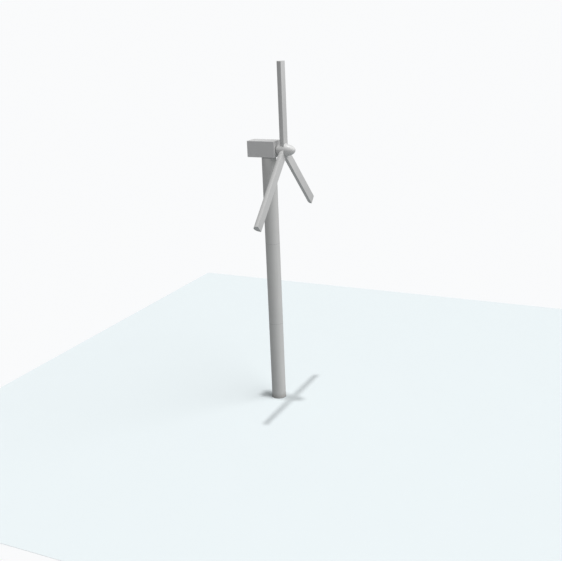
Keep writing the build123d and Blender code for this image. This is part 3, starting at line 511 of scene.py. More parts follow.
def grid(points: np.ndarray, loop_rows: bool = False, loop_columns: bool = True) -> Surface:
    """Joins a grid of points with four-sided faces.

    Args:
        points: Rows by columns by 3.
        loop_rows: Join the last row to the first.
        loop_columns: Join the last column to the first.

    Returns:
        The surface; face (i, j) has corners (i, j), (i, j+1), (i+1, j+1) and (i+1, j).
    """
    rows, columns = points.shape[:2]
    index = np.arange(rows * columns).reshape(rows, columns)
    if loop_columns:
        index = np.hstack((index, index[:, :1]))
    if loop_rows:
        index = np.vstack((index, index[:1]))
    faces = np.stack((index[:-1, :-1], index[:-1, 1:], index[1:, 1:], index[1:, :-1]), -1)
    return Surface(points.reshape(-1, 3), faces.reshape(-1, 4))


def lathe(profile: np.ndarray, segments: int = 144) -> Surface:
    """Turns a closed profile about Z.

    Args:
        profile: (radius, height) points, in order around the profile.
        segments: Steps around the axis.

    Returns:
        The ring; a point is (radius cos a, radius sin a, height) at each angle a.
    """
    angle = np.linspace(0.0, 2 * math.pi, segments, endpoint=False)
    radius, height = profile[:, :1], profile[:, 1:]
    points = np.stack((radius * np.cos(angle), radius * np.sin(angle), height + 0.0 * angle), -1)
    return grid(points, loop_rows=True)


def capped(rings: np.ndarray) -> Surface:
    """Closes a stack of rings at both ends.

    Args:
        rings: Rings by points by 3.

    Returns:
        The surface, with each end ring joined to its own middle point.
    """
    count = rings.shape[1]
    ends = [np.repeat(ring.mean(axis=0)[None, None], count, axis=1) for ring in (rings[0], rings[-1])]
    return grid(np.concatenate((ends[0], rings, ends[1]), axis=0))


def rounded_rectangle(
    half_x: float, half_y: float, radius: float, per_side: int = 2, per_corner: int = 6
) -> np.ndarray:
    """The outline of a rectangle with round corners.

    Args:
        half_x: Half its length.
        half_y: Half its width.
        radius: Corner radius.
        per_side: Points added along each straight side.
        per_corner: Points on each corner's arc.

    Returns:
        (x, y) points, counter-clockwise. Corner k is an arc from k to k + 1 quarter turns about its centre.
    """
    quarter = math.pi / 2
    corners = []
    for number, (sign_x, sign_y) in enumerate(((1, 1), (-1, 1), (-1, -1), (1, -1))):
        angle = quarter * (number + np.linspace(0.0, 1.0, per_corner))
        middle = np.array((sign_x * (half_x - radius), sign_y * (half_y - radius)))
        corners.append(middle + radius * np.stack((np.cos(angle), np.sin(angle)), -1))
    outline = []
    share = np.linspace(0.0, 1.0, per_side + 2)[1:-1, None]
    for number, corner in enumerate(corners):
        start, end = corner[-1], corners[(number + 1) % 4][0]
        outline += [corner, start + share * (end - start)]
    return np.vstack(outline)


def bar(outline: np.ndarray, length: float, edge: float, steps: int = 4) -> Surface:
    """Carries a closed outline along Z, with its end edges rounded.

    Args:
        outline: (x, y) points of the section.
        length: Length along Z, from 0.
        edge: Radius of the end edges.
        steps: Rings in each rounded edge.

    Returns:
        The bar. At depth d under an end, the section shrinks towards its middle by
        edge - sqrt(edge^2 - (edge - d)^2).
    """
    turn = np.linspace(0.0, math.pi / 2, steps)
    depth = edge * (1 - np.cos(turn))
    inset = edge * (1 - np.sin(turn))
    heights = np.concatenate((depth, (length - depth)[::-1]))
    insets = np.concatenate((inset, inset[::-1]))
    middle = (outline.max(axis=0) + outline.min(axis=0)) / 2
    half = (outline.max(axis=0) - outline.min(axis=0)) / 2
    scale = 1 - insets[:, None, None] / half
    flat = middle + (outline - middle)[None] * scale
    rings = np.concatenate((flat, np.broadcast_to(heights[:, None, None], (*flat.shape[:2], 1))), axis=-1)
    return capped(rings)


def bolt_heads(places: np.ndarray, normals: np.ndarray, across: float, height: float) -> Surface:
    """Hexagon heads with a chamfered top.

    Args:
        places: Middle of each seat.
        normals: Outward direction of each seat.
        across: Width across corners.
        height: Height of a head.

    Returns:
        All heads. Each is a stack of hexagons of radius r at heights h, turned into its seat's own axes.
    """
    angle = np.linspace(0.0, 2 * math.pi, 6, endpoint=False)
    half = across / 2
    sunk, shoulder = -0.1 * height, 0.85 * height
    stack = ((0.0, sunk), (half, sunk), (half, shoulder), (0.86 * half, height), (0.0, height))
    local = np.array([[(r * c, r * s, h) for c, s in zip(np.cos(angle), np.sin(angle))] for r, h in stack])
    head = grid(local)
    normals = normals / np.linalg.norm(normals, axis=1, keepdims=True)
    helper = np.where(np.abs(normals[:, 2:]) > 0.9, (1.0, 0.0, 0.0), (0.0, 0.0, 1.0))
    side = np.cross(helper, normals)
    side /= np.linalg.norm(side, axis=1, keepdims=True)
    axes = np.stack((side, np.cross(normals, side), normals), axis=1)
    points = np.einsum("pk,nkd->npd", head.points, axes) + places[:, None]
    faces = head.faces[None] + len(head.points) * np.arange(len(places))[:, None, None]
    return Surface(points.reshape(-1, 3), faces.reshape(-1, 4))


# --- Pieces ------------------------------------------------------------------
def finished(
    piece: bpy.types.Object, body: Body | str, finish: Finish, replaces: Sequence[str] = ()
) -> bpy.types.Object:
    """Paints a piece and fixes it to its body.

    Args:
        piece: The object.
        body: The CAD body that it rides on.
        finish: Its finish.
        replaces: The CAD nodes that it stands for.

    Returns:
        The same object.
    """
    piece.data.materials.clear()
    piece.data.materials.append(finish.material())
    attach(piece, body.value if isinstance(body, Body) else body)
    if replaces:
        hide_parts(*replaces)
    log.info("%s: %d faces", piece.name, len(piece.data.polygons))
    return piece


def shade(mesh: bpy.types.Mesh, shading: Shading) -> None:
    """Smooths a mesh, with sharp edges kept where faces turn by more than the shading's angle."""
    mesh.polygons.foreach_set("use_smooth", np.ones(len(mesh.polygons), dtype=bool))
    mesh.set_sharp_from_angle(angle=math.radians(shading.value))
    mesh.update()


def new_piece(
    name: str,
    surface: Surface,
    body: Body | str,
    finish: Finish,
    replaces: Sequence[str] = (),
    shading: Shading = Shading.CREASED,
) -> bpy.types.Object:
    """Makes an object from a surface.

    Args:
        name: The piece's name.
        surface: Its closed surface, in the row frame.
        body: The body that it rides on.
        finish: Its finish.
        replaces: The CAD nodes that it stands for.
        shading: How it is smoothed.

    Returns:
        The new object, with doubled points merged and its faces turned outwards.
    """
    mesh = bpy.data.meshes.new(name)
    mesh.from_pydata(surface.points.tolist(), [], surface.faces.tolist())
    work = bmesh.new()
    work.from_mesh(mesh)
    bmesh.ops.remove_doubles(work, verts=work.verts, dist=1e-5)
    bmesh.ops.recalc_face_normals(work, faces=work.faces)
    work.to_mesh(mesh)
    work.free()
    shade(mesh, shading)
    piece = bpy.data.objects.new(name, mesh)
    bpy.context.scene.collection.objects.link(piece)
    return finished(piece, body, finish, replaces)


def smooth_copy(
    node: str, name: str, edge: float = 0.0, shading: Shading = Shading.CREASED
) -> bpy.types.Object:
    """A copy of a CAD node with its triangles joined, flat faces made whole and edges softened.

    Args:
        node: The CAD node, which the copy then stands for.
        name: The copy's name.
        edge: Width of the bevel on its edges, in metres; 0 leaves them sharp.
        shading: How it is smoothed.

    Returns:
        The copy.
    """
    source = frame["nodes"][node]
    mesh = source.data.copy()
    mesh.name = name
    work = bmesh.new()
    work.from_mesh(mesh)
    bmesh.ops.remove_doubles(work, verts=work.verts, dist=1e-5)
    if edge:
        bmesh.ops.dissolve_limit(work, angle_limit=math.radians(0.3), verts=work.verts, edges=work.edges)
    work.to_mesh(mesh)
    work.free()
    shade(mesh, shading)
    piece = bpy.data.objects.new(name, mesh)
    bpy.context.scene.collection.objects.link(piece)
    if edge:
        bevel = piece.modifiers.new("soft_edges", "BEVEL")
        bevel.width = edge
        bevel.segments = 2
        bevel.limit_method = "ANGLE"
        bevel.angle_limit = math.radians(35.0)
        bevel.harden_normals = True
        bevel.use_clamp_overlap = True
    slot = SLOT_OF_NODE[node]
    return finished(piece, source["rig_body"], FINISH_OF_SLOT[slot], [node])


SLOT_OF_NODE = {row["node"]: row["material_slot"] for row in frame["record"]["subparts"]}
JOINTS = {joint["name"]: joint for joint in frame["joints"]}


def turned_about(axis: Sequence[float], place: Sequence[float]) -> Matrix:
    """The transform that lays +Z along an axis and moves the origin to a place."""
    direction = np.array(axis, dtype=float)
    rotation = Matrix.Identity(3)
    if abs(direction[2]) < 0.999999:
        rotation = Matrix(np.array(basis_from(direction)).T.tolist())
    return Matrix.Translation(place) @ rotation.to_4x4()


def basis_from(direction: np.ndarray) -> tuple[np.ndarray, np.ndarray, np.ndarray]:
    """Three unit vectors at right angles, the last along the direction."""
    direction = direction / np.linalg.norm(direction)
    helper = np.array((1.0, 0.0, 0.0)) if abs(direction[0]) < 0.9 else np.array((0.0, 1.0, 0.0))
    side = np.cross(direction, helper)
    side /= np.linalg.norm(side)
    return np.cross(side, direction), side, direction


# --- Tower -------------------------------------------------------------------
@dataclass
class Tower:
    """The three bolted cans, their weld beads and joint bands, and what is inside."""

    course: float = 2.45
    bead_width: float = 0.014
    bead_height: float = 0.004
    band_width: float = 0.018
    band_height: float = 0.002
    grout_width: float = 0.05
    grout_height: float = 0.035
    sections: tuple[str, ...] = ("lower", "middle", "upper")
    radius: float = field(init=False)
    levels: list[tuple[float, float]] = field(init=False)

    def __post_init__(self) -> None:
        """Reads the tower's radius and each can's two ends from the frame."""
        self.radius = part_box("tower_middle_section")[1].x
        boxes = [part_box(f"tower_{name}_section") for name in self.sections]
        self.levels = [(low.z, high.z) for low, high in boxes]

    def ring(self, level: float, width: float, height: float) -> Surface:
        """A low rounded ring around the tower.

        Args:
            level: Height of its middle.
            width: Its width along the tower.
            height: How far it stands out.

        Returns:
            The ring. Its profile is half an ellipse of this width and height, sunk a little into the plate.
        """
        angle = np.linspace(0.0, math.pi, 6)
        outside = np.stack((self.radius + height * np.sin(angle), level + width / 2 * np.cos(angle)), -1)
        sunk = self.radius - 0.002
        inside = np.array(((sunk, level - width / 2), (sunk, level + width / 2)))
        return lathe(np.vstack((outside, inside)))

    def welds(self) -> Surface:
        """Beads around each can, one above every plate course, and one upright seam per course.

        Returns:
            All beads. Upright seams step round the tower by a third of a turn from course to course.
        """
        beads: Surface | None = None
        profile = rounded_rectangle(self.bead_height, self.bead_width / 2, self.bead_height / 2)
        step = 0
        for low, high in self.levels:
            edges = np.linspace(low, high, round((high - low) / self.course) + 1)
            for bottom, top in zip(edges[:-1], edges[1:]):
                angle = 2.1 * step + 0.4
                place = (self.radius * math.cos(angle), self.radius * math.sin(angle), bottom + 0.02)
                seam = bar(profile, top - bottom - 0.04, self.bead_height / 2)
                seam = seam.moved(Matrix.Translation(place) @ Matrix.Rotation(angle, 4, "Z"))
                beads = seam if beads is None else beads + seam
                if top < high:
                    beads = beads + self.ring(top, self.bead_width, self.bead_height)
                step += 1
        return beads

    def build(self) -> None:
        """Makes the cans' smooth copies, the beads, the joint bands and the grouted foot."""
        for name in self.sections:
            smooth_copy(f"tower_{name}_section", f"{name}_can")
        new_piece("weld_beads", self.welds(), Body.TOWER, TOWER_PAINT, shading=Shading.ROUND)
        bands = self.ring(self.levels[1][0], self.band_width, self.band_height)
        bands = bands + self.ring(self.levels[1][1], self.band_width, self.band_height)
        new_piece("joint_bands", bands, Body.TOWER, SEAL, shading=Shading.ROUND)
        edge = self.radius + self.grout_width
        foot = np.array(
            (
                (self.radius - 0.01, 0.0),
                (edge, 0.0),
                (edge, self.grout_height * 0.5),
                (edge - 0.015, self.grout_height * 0.8),
                (self.radius + 0.004, self.grout_height),
                (self.radius - 0.01, self.grout_height),
            )
        )
        new_piece("foot_sealant", lathe(foot), Body.TOWER, SEAL)
        for node in ("tower_platforms", "flange_bolts", "door_hinge_pins", "yaw_ring_gear"):
            smooth_copy(node, f"{node}_smooth")
        smooth_copy("ladder", "ladder_smooth")


@dataclass
class TowerDoor:
    """The doorway: frame, leaf with a louvred vent, hinges and handle."""

    slats: int = 9
    slat_pitch: float = 0.045
    slat_depth: float = 0.038
    slat_thickness: float = 0.004
    slat_tilt: float = 38.0
    vent_width: float = 0.46
    vent_above_sill: float = 0.38
    rim: float = 0.022
    bolt_across: float = 0.028
    bolt_count: int = 20

    def vent(self) -> Surface:
        """The louvre: tilted slats in a raised rim, on the leaf's outer face.

        Returns:
            The louvre. Each slat is a thin rounded bar across the leaf, turned down by its tilt.
        """
        low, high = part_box("tower_door")
        face = high.y - 0.028
        bottom = low.z + self.vent_above_sill
        section = rounded_rectangle(self.slat_thickness / 2, self.slat_depth / 2, 0.0019)
        slat = bar(section, self.vent_width, 0.001)
        tilt = Matrix.Rotation(math.radians(self.slat_tilt), 4, "Z")
        turn = Matrix.Rotation(math.radians(90), 4, "Y") @ tilt
        slat = slat.moved(Matrix.Translation((-self.vent_width / 2, face + 0.012, bottom)) @ turn)
        shifts = np.zeros((self.slats, 3))
        shifts[:, 2] = self.slat_pitch * (np.arange(self.slats) + 0.5)
        half_height = self.slats * self.slat_pitch / 2
        outer = rounded_rectangle(self.vent_width / 2 + self.rim, half_height + self.rim, self.rim)
        inner = rounded_rectangle(self.vent_width / 2, half_height, self.rim / 2)
        crest = 0.7 * inner + 0.3 * outer
        rows = []
        for outline, depth in ((inner, 0.0), (inner, 0.018), (crest, 0.022), (outer, 0.014), (outer, 0.0)):
            y = np.full(len(outline), face - 0.002 + depth)
            rows.append(np.stack((outline[:, 0], y, outline[:, 1]), -1))
        rim = grid(np.array(rows), loop_rows=True)
        rim = rim.moved(Matrix.Translation((0.0, 0.0, bottom + half_height)))
        return slat.repeated(shifts) + rim

    def frame_bolts(self) -> Surface:
        """Bolt heads spaced evenly around the frame's face, on an outline midway across it.

        Returns:
            The heads. The outline is two half circles joined by straight sides, walked by its length.
        """
        low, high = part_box("door_frame")
        low_leaf, high_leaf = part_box("tower_door")
        middle_z = (low.z + high.z) / 2
        radius = (-low_leaf.x - low.x) / 2
        straight = (high.z - low.z) - 2 * (-low.x)
        arc = math.pi * radius
        total = 2 * (arc + straight)
        along = (np.arange(self.bolt_count) + 0.5) * total / self.bolt_count
        turn_1 = np.clip(along / radius, 0.0, math.pi)
        side_1 = np.clip(along - arc, 0.0, straight)
        turn_2 = np.clip((along - arc - straight) / radius, 0.0, math.pi)
        side_2 = np.clip(along - 2 * arc - straight, 0.0, straight)
        angle = turn_1 + turn_2
        x = radius * np.cos(angle)
        z = middle_z + straight / 2 - side_1 + side_2 + radius * np.sin(angle)
        places = np.stack((x, np.full(len(x), high_leaf.y - 0.0577), z), -1)
        keep = x < 0.9 * radius
        normals = np.tile((0.0, 1.0, 0.0), (int(keep.sum()), 1))
        return bolt_heads(places[keep], normals, self.bolt_across, 0.014)

    def build(self) -> None:
        """Makes the frame, the leaf, the handle and the louvre."""
        smooth_copy("door_frame", "doorway_frame", 0.004)
        smooth_copy("tower_door", "door_leaf", 0.003)
        smooth_copy("door_handle", "door_lever", 0.003)
        new_piece("door_vent", self.vent(), Body.DOOR, GALVANISED)
        new_piece("frame_bolts", self.frame_bolts(), Body.TOWER, BOLT_STEEL)


# --- Nacelle -----------------------------------------------------------------
@dataclass
class Nacelle:
    """The moulded cover: roof lid, floor tray, walls with corner posts and joint straps, seals and vents."""

    corner: float = 0.055
    lip: float = 0.14
    lip_wall: float = 0.010
    edge: float = 0.022
    crown: float = 0.018
    strap_width: float = 0.09
    strap_height: float = 0.006
    post_leg: float = 0.10
    bolt_across: float = 0.030
    bolt_height: float = 0.012
    bolt_pitch: float = 0.32
    low: np.ndarray = field(init=False)
    high: np.ndarray = field(init=False)
    wall: float = field(init=False)

    def __post_init__(self) -> None:
        """Reads the cover's box and wall from the frame."""
        self.low = np.array((*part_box("nacelle_floor")[0],))
        self.high = np.array((*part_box("nacelle_roof")[1],))
        floor_low, floor_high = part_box("nacelle_floor")
        self.wall = floor_high.z - floor_low.z

    def plan(self, inset: float) -> np.ndarray:
        """The cover's outline seen from above, moved inwards.

        Args:
            inset: How far inside the walls' outer faces; negative is outside.

        Returns:
            (x, y) points in the row frame.
        """
        half = (self.high - self.low)[:2] / 2 - inset
        radius = max(self.corner - inset, 0.004)
        outline = rounded_rectangle(half[0], half[1], radius, 48, 7)
        return outline + (self.high + self.low)[:2] / 2

    def shell_rows(self, outside: int) -> list[tuple[float, float]]:
        """Inset and depth from the outer face, from the flat over the edge, down the lip and back inside.

        Args:
            outside: Steps in the rounded outer edge, which is a quarter circle.

        Returns:
            (inset, depth) pairs.
        """
        proud = -self.lip_wall
        turn = np.linspace(0.0, math.pi / 2, outside)
        rows = [(proud + self.edge * (1 - math.sin(a)), self.edge * (1 - math.cos(a))) for a in turn]
        bottom = self.wall + self.lip
        rows += [(proud, bottom - 0.004), (proud + 0.004, bottom), (-0.001, bottom), (-0.001, self.wall)]
        return rows

    def roof(self) -> Surface:
        """The roof lid.

        Returns:
            The lid. From the middle outwards the outline grows with s, and the crown falls as 1 - s^2.
        """
        middle = (self.high + self.low)[:2] / 2
        rim = self.plan(self.edge - self.lip_wall)
        rows = []
        for s in np.linspace(0.0, 1.0, 9)[:-1]:
            z = self.high[2] + self.crown * (1 - s**2)
            rows.append(np.column_stack((middle + (rim - middle) * s, np.full(len(rim), z))))
        for inset, depth in self.shell_rows(5):
            rows.append(np.column_stack((self.plan(inset), np.full(len(rim), self.high[2] - depth))))
        closing = np.tile(middle, (len(rim), 1))
        rows.append(np.column_stack((closing, np.full(len(rim), self.high[2] - self.wall))))
        return grid(np.array(rows))

    def floor(self) -> Surface:
        """The floor tray, open around the yaw bearing.

        Returns:
            The tray. Its hole is a circle whose points lie in the directions of the outline's points.
        """
        hole_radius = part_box("yaw_slide_ring")[1].x - 0.075
        rim = self.plan(0.0)
        direction = rim / np.linalg.norm(rim, axis=1, keepdims=True)
        hole = direction * hole_radius
        bottom = self.low[2]
        rows = [
            np.column_stack((hole, np.full(len(rim), bottom + self.wall))),
            np.column_stack((hole, np.full(len(rim), bottom))),
        ]
        for inset, depth in self.shell_rows(5):
            rows.append(np.column_stack((self.plan(inset), np.full(len(rim), bottom + depth))))
        return grid(np.array(rows), loop_rows=True)

    def uprights(self) -> tuple[float, float]:
        """The height span of what stands between the roof's lip and the floor's lip."""
        gap = self.wall + self.lip + 0.002
        return self.low[2] + gap, self.high[2] - gap

    def posts(self) -> Surface:
        """Four corner posts of angle section with a rounded outer corner.

        Returns:
            The posts. The section's outside is the wall's outline moved out, its inside follows the walls.
        """
        bottom, top = self.uprights()
        leg, proud, radius = self.post_leg, self.lip_wall - 0.002, self.corner
        angle = np.linspace(0.0, math.pi / 2, 8)
        arc = np.stack((np.cos(angle), np.sin(angle)), -1)
        outer = (proud + radius) * arc - radius
        section = np.vstack(
            ((proud, -leg), outer, (-leg, proud), (-leg, 0.0005), (0.0005, 0.0005), (0.0005, -leg))
        )
        section = np.vstack([np.atleast_2d(row) for row in section])
        posts: Surface | None = None
        for sign_x, sign_y in ((1, 1), (-1, 1), (-1, -1), (1, -1)):
            corner_x = self.high[0] if sign_x > 0 else self.low[0]
            corner_y = self.high[1] if sign_y > 0 else self.low[1]
            outline = section * (sign_x, sign_y) + (corner_x, corner_y)
            rows = [np.column_stack((outline, np.full(len(outline), z))) for z in (bottom, top)]
            post = capped(np.array(rows))
            posts = post if posts is None else posts + post
        return posts

    def straps(self) -> tuple[Surface, Surface]:
        """Joint straps at the thirds of each side wall, and their bolt heads.

        Returns:
            The straps and the heads. A strap is a thin rounded bar laid upright on the wall.
        """
        bottom, top = self.uprights()
        section = rounded_rectangle(self.strap_width / 2, self.strap_height, self.strap_height * 0.8)
        straps: Surface | None = None
        places = []
        levels = np.arange(bottom + self.bolt_pitch / 2, top, self.bolt_pitch)
        length = self.high[0] - self.low[0]
        for side in (-1, 1):
            y = self.high[1] if side > 0 else self.low[1]
            for share in (1 / 3, 2 / 3):
                x = self.low[0] + length * share
                strap = bar(section, top - bottom, self.strap_height * 0.5)
                strap = strap.moved(Matrix.Translation((x, y, bottom)))
                straps = strap if straps is None else straps + strap
                for offset in (-0.028, 0.028):
                    row = np.zeros((len(levels), 6))
                    row[:] = (x + offset, y + side * self.strap_height, 0.0, 0.0, side, 0.0)
                    row[:, 2] = levels
                    places.append(row)
        rows = np.vstack(places)
        return straps, bolt_heads(rows[:, :3], rows[:, 3:], self.bolt_across * 0.8, self.bolt_height * 0.7)

    def lip_bolts(self) -> Surface:
        """Bolt heads along the lips of the roof and the floor, evenly spaced around the outline."""
        outline = self.plan(-self.lip_wall)
        closed = np.vstack((outline, outline[:1]))
        run = np.concatenate(((0.0,), np.cumsum(np.linalg.norm(np.diff(closed, axis=0), axis=1))))
        count = int(run[-1] / self.bolt_pitch)
        along = (np.arange(count) + 0.5) * run[-1] / count
        x, y = np.interp(along, run, closed[:, 0]), np.interp(along, run, closed[:, 1])
        ahead = (along + 0.02) % run[-1]
        next_x, next_y = np.interp(ahead, run, closed[:, 0]), np.interp(ahead, run, closed[:, 1])
        tangent = np.stack((next_x - x, next_y - y), -1)
        normals = np.column_stack((tangent[:, 1], -tangent[:, 0], np.zeros(count)))
        heads: Surface | None = None
        for level in (self.low[2] + self.wall + self.lip / 2, self.high[2] - self.wall - self.lip / 2):
            places = np.column_stack((x, y, np.full(count, level)))
            ring = bolt_heads(places, normals, self.bolt_across, self.bolt_height)
            heads = ring if heads is None else heads + ring
        return heads

    def louvre(self, side: int) -> Surface:
        """A cooling-air louvre on the rear wall, beside the hatch.

        Args:
            side: -1 for the left-hand wall's side, 1 for the right.

        Returns:
            Tilted slats in a frame of four rounded bars.
        """
        width, pitch, count = 0.62, 0.085, 12
        x = self.low[0]
        y_middle = side * (self.high[1] - 0.52)
        bottom = self.low[2] + 1.15
        slat = bar(rounded_rectangle(0.004, 0.045, 0.003), width, 0.002)
        turn = Matrix.Rotation(math.radians(-90), 4, "X") @ Matrix.Rotation(math.radians(35), 4, "Z")
        slat = slat.moved(Matrix.Translation((x - 0.022, y_middle - width / 2, bottom)) @ turn)
        shifts = np.zeros((count, 3))
        shifts[:, 2] = pitch * (np.arange(count) + 0.5)
        half_height, rim = count * pitch / 2, 0.045
        outer = rounded_rectangle(width / 2 + rim, half_height + rim, 0.03)
        inner = rounded_rectangle(width / 2, half_height, 0.012)
        crest = 0.75 * inner + 0.25 * outer
        rows = []
        sunk = -0.002
        for outline, depth in ((inner, sunk), (inner, 0.048), (crest, 0.054), (outer, 0.036), (outer, sunk)):
            rows.append(
                np.stack((np.full(len(outline), x - depth), outline[:, 0] + y_middle, outline[:, 1]), -1)
            )
        rim_surface = grid(np.array(rows), loop_rows=True)
        rim_surface = rim_surface.moved(Matrix.Translation((0.0, 0.0, bottom + half_height)))
        return slat.repeated(shifts) + rim_surface

    def hatch_frame(self) -> Surface:
        """The gasket around the rear hatch's opening, a rounded rubber bead."""
        low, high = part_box("rear_hatch")
        half_y = (high.z - low.z) / 2 + 0.012
        half_x = -low.y + 0.012
        rows = []
        for grow, depth in ((0.0, 0.0), (0.004, 0.010), (0.016, 0.014), (0.028, 0.010), (0.032, 0.0)):
            outline = rounded_rectangle(half_x + grow, half_y + grow, 0.01 + grow)
            x = np.full(len(outline), self.low[0] - depth)
            rows.append(np.stack((x, outline[:, 0], outline[:, 1]), -1))
        bead = grid(np.array(rows), loop_rows=True)
        return bead.moved(Matrix.Translation((0.0, 0.0, (high.z + low.z) / 2)))

    def hatch_pull(self) -> Surface:
        """The hatch's D-shaped pull: a round bar carried along half an ellipse.

        Returns:
            The pull, with both ends on the leaf's outer face. Its middle line is (depth sin a, length cos a).
        """
        low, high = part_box("rear_hatch")
        count, length, depth, radius = 25, 0.11, 0.05, 0.011
        angle = np.linspace(0.0, math.pi, count)
        x, y = self.low[0] - depth * np.sin(angle), np.full(count, low.y + 0.12)
        z = (low.z + high.z) / 2 + length * np.cos(angle)
        middle = np.stack((x, y, z), -1)
        tangent = np.stack((-depth * np.cos(angle), np.zeros(count), -length * np.sin(angle)), -1)
        tangent /= np.linalg.norm(tangent, axis=1, keepdims=True)
        side = np.tile((0.0, 1.0, 0.0), (count, 1))
        normal = np.cross(tangent, side)
        turn = np.linspace(0.0, 2 * math.pi, 12, endpoint=False)[None, :, None]
        rings = middle[:, None] + radius * (np.cos(turn) * side[:, None] + np.sin(turn) * normal[:, None])
        return capped(rings)

    def shaft_seal(self) -> Surface:
        """The rubber lip around the main shaft, at the front wall."""
        hub = JOINTS["rotor_spin"]["pos_m"]
        front = self.high[0]
        inner, outer = 0.302, 0.40
        profile = np.array(
            ((inner, 0.014), (inner, 0.004), (0.33, -0.001), (outer, -0.001), (outer, 0.012), (0.36, 0.022))
        )
        ring = lathe(profile, 96)
        return ring.moved(turned_about((1.0, 0.0, 0.0), (front, hub[1], hub[2])))

    def yaw_skirt(self) -> Surface:
        """The rubber skirt that hides the gap over the yaw bearing."""
        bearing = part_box("yaw_slide_ring")
        top, radius = self.low[2], bearing[1].x
        foot = bearing[1].z
        inner = radius - 0.074
        profile = np.array(
            (
                (inner, top),
                (radius - 0.02, top),
                (radius - 0.006, top - 0.012),
                (radius - 0.008, foot + 0.001),
                (inner, foot + 0.001),
            )
        )
        return lathe(profile)

    def build(self) -> None:
        """Makes the whole cover and the machine frame's copies."""
        gel = SHELL_GELCOAT
        new_piece("roof_lid", self.roof(), Body.NACELLE, gel, ["nacelle_roof"])
        new_piece("floor_tray", self.floor(), Body.NACELLE, gel, ["nacelle_floor"])
        for node in ("nacelle_left_side", "nacelle_right_side", "nacelle_front_panel", "nacelle_rear_panel"):
            smooth_copy(node, node.replace("nacelle_", "cover_"), 0.002)
        new_piece("corner_posts", self.posts(), Body.NACELLE, gel)
        straps, strap_heads = self.straps()
        new_piece("joint_straps", straps, Body.NACELLE, gel)
        new_piece("strap_bolts", strap_heads, Body.NACELLE, BOLT_STEEL)
        new_piece("lip_bolts", self.lip_bolts(), Body.NACELLE, BOLT_STEEL)
        for side, name in ((-1, "left"), (1, "right")):
            new_piece(f"louvre_{name}", self.louvre(side), Body.NACELLE, ALUMINIUM)
        soft = Shading.ROUND
        new_piece("hatch_gasket", self.hatch_frame(), Body.NACELLE, SEAL, shading=soft)
        new_piece("hatch_pull", self.hatch_pull(), Body.HATCH, GALVANISED, shading=soft)
        new_piece("shaft_seal", self.shaft_seal(), Body.NACELLE, SEAL, shading=soft)
        new_piece("yaw_skirt", self.yaw_skirt(), Body.NACELLE, SEAL)
        smooth_copy("rear_hatch", "hatch_leaf", 0.003)
        smooth_copy("yaw_slide_ring", "yaw_bearing_ring", 0.003)
        smooth_copy("bedplate", "main_frame", 0.004)


# --- Drive train -------------------------------------------------------------
@dataclass
class DriveTrain:
    """The machinery on the main frame: copies with soft edges, cooling fins and cover bolts."""

    fins: int = 44
    fin_height: float = 0.045
    fin_thickness: float = 0.010
    cover_bolt: float = 0.05
    cover_pitch: float = 0.19
    soft: tuple[str, ...] = (
        "main_bearing_housing", "gearbox_housing", "gearbox_cover", "brake_caliper", "control_cabinet",
    )
    plain: tuple[str, ...] = (
        "main_shaft", "low_speed_gear", "intermediate_shaft", "high_speed_shaft", "brake_disc",
        "generator_housing", "generator_stator", "generator_rotor", "yaw_drives", "yaw_pinion_left",
        "yaw_pinion_right",
    )

    def generator_fins(self) -> Surface:
        """Fins along the generator's frame, over its upper three quarters.

        Returns:
            The fins. Each is a thin rounded bar at the frame's radius, turned about the fast shaft's axis.
        """
        low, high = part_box("generator_stator")
        _, axis_y, axis_z = JOINTS["high_speed_spin"]["pos_m"]
        radius = high.z - axis_z + 0.04
        section = rounded_rectangle(self.fin_height / 2, self.fin_thickness / 2, 0.003)
        fin = bar(section, high.x - low.x, 0.004)
        fins: Surface | None = None
        for angle in np.linspace(-0.25 * math.pi, 1.25 * math.pi, self.fins):
            out = Matrix.Translation((0.0, (radius + self.fin_height / 2 - 0.004) * math.cos(angle), 0.0))
            up = Matrix.Translation((0.0, 0.0, (radius + self.fin_height / 2 - 0.004) * math.sin(angle)))
            lie = Matrix.Rotation(math.radians(90), 4, "Y") @ Matrix.Rotation(math.pi / 2, 4, "Z")
            turn = Matrix.Rotation(angle, 4, "X")
            place = Matrix.Translation((low.x, axis_y, axis_z)) @ out @ up @ turn @ lie
            made = fin.moved(place)
            fins = made if fins is None else fins + made
        return fins

    def cover_bolts(self) -> Surface:
        """Bolt heads around the gear case's rear cover, evenly spaced along its edge."""
        low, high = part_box("gearbox_housing")
        hub = JOINTS["rotor_spin"]["pos_m"]
        bottom = 2 * hub[2] - high.z
        half = ((high.y - low.y) / 2 - 0.02, (high.z - bottom) / 2 - 0.02)
        outline = rounded_rectangle(half[0], half[1], 0.02, 60, 3)
        closed = np.vstack((outline, outline[:1]))
        run = np.concatenate(((0.0,), np.cumsum(np.linalg.norm(np.diff(closed, axis=0), axis=1))))
        along = np.arange(0.0, run[-1], self.cover_pitch)
        y = np.interp(along, run, closed[:, 0]) + (low.y + high.y) / 2
        z = np.interp(along, run, closed[:, 1]) + (high.z + bottom) / 2
        places = np.column_stack((np.full(len(y), low.x - 0.04), y, z))
        return bolt_heads(places, np.tile((-1.0, 0.0, 0.0), (len(y), 1)), self.cover_bolt * 0.6, 0.018)

    def build(self) -> None:
        """Makes every machine piece."""
        for node in self.soft:
            smooth_copy(node, f"{node}_body", 0.006)
        for node in self.plain:
            smooth_copy(node, f"{node}_body")
        new_piece("generator_fins", self.generator_fins(), Body.NACELLE, MOTOR_PAINT)
        new_piece("cover_bolts", self.cover_bolts(), Body.NACELLE, BOLT_STEEL)


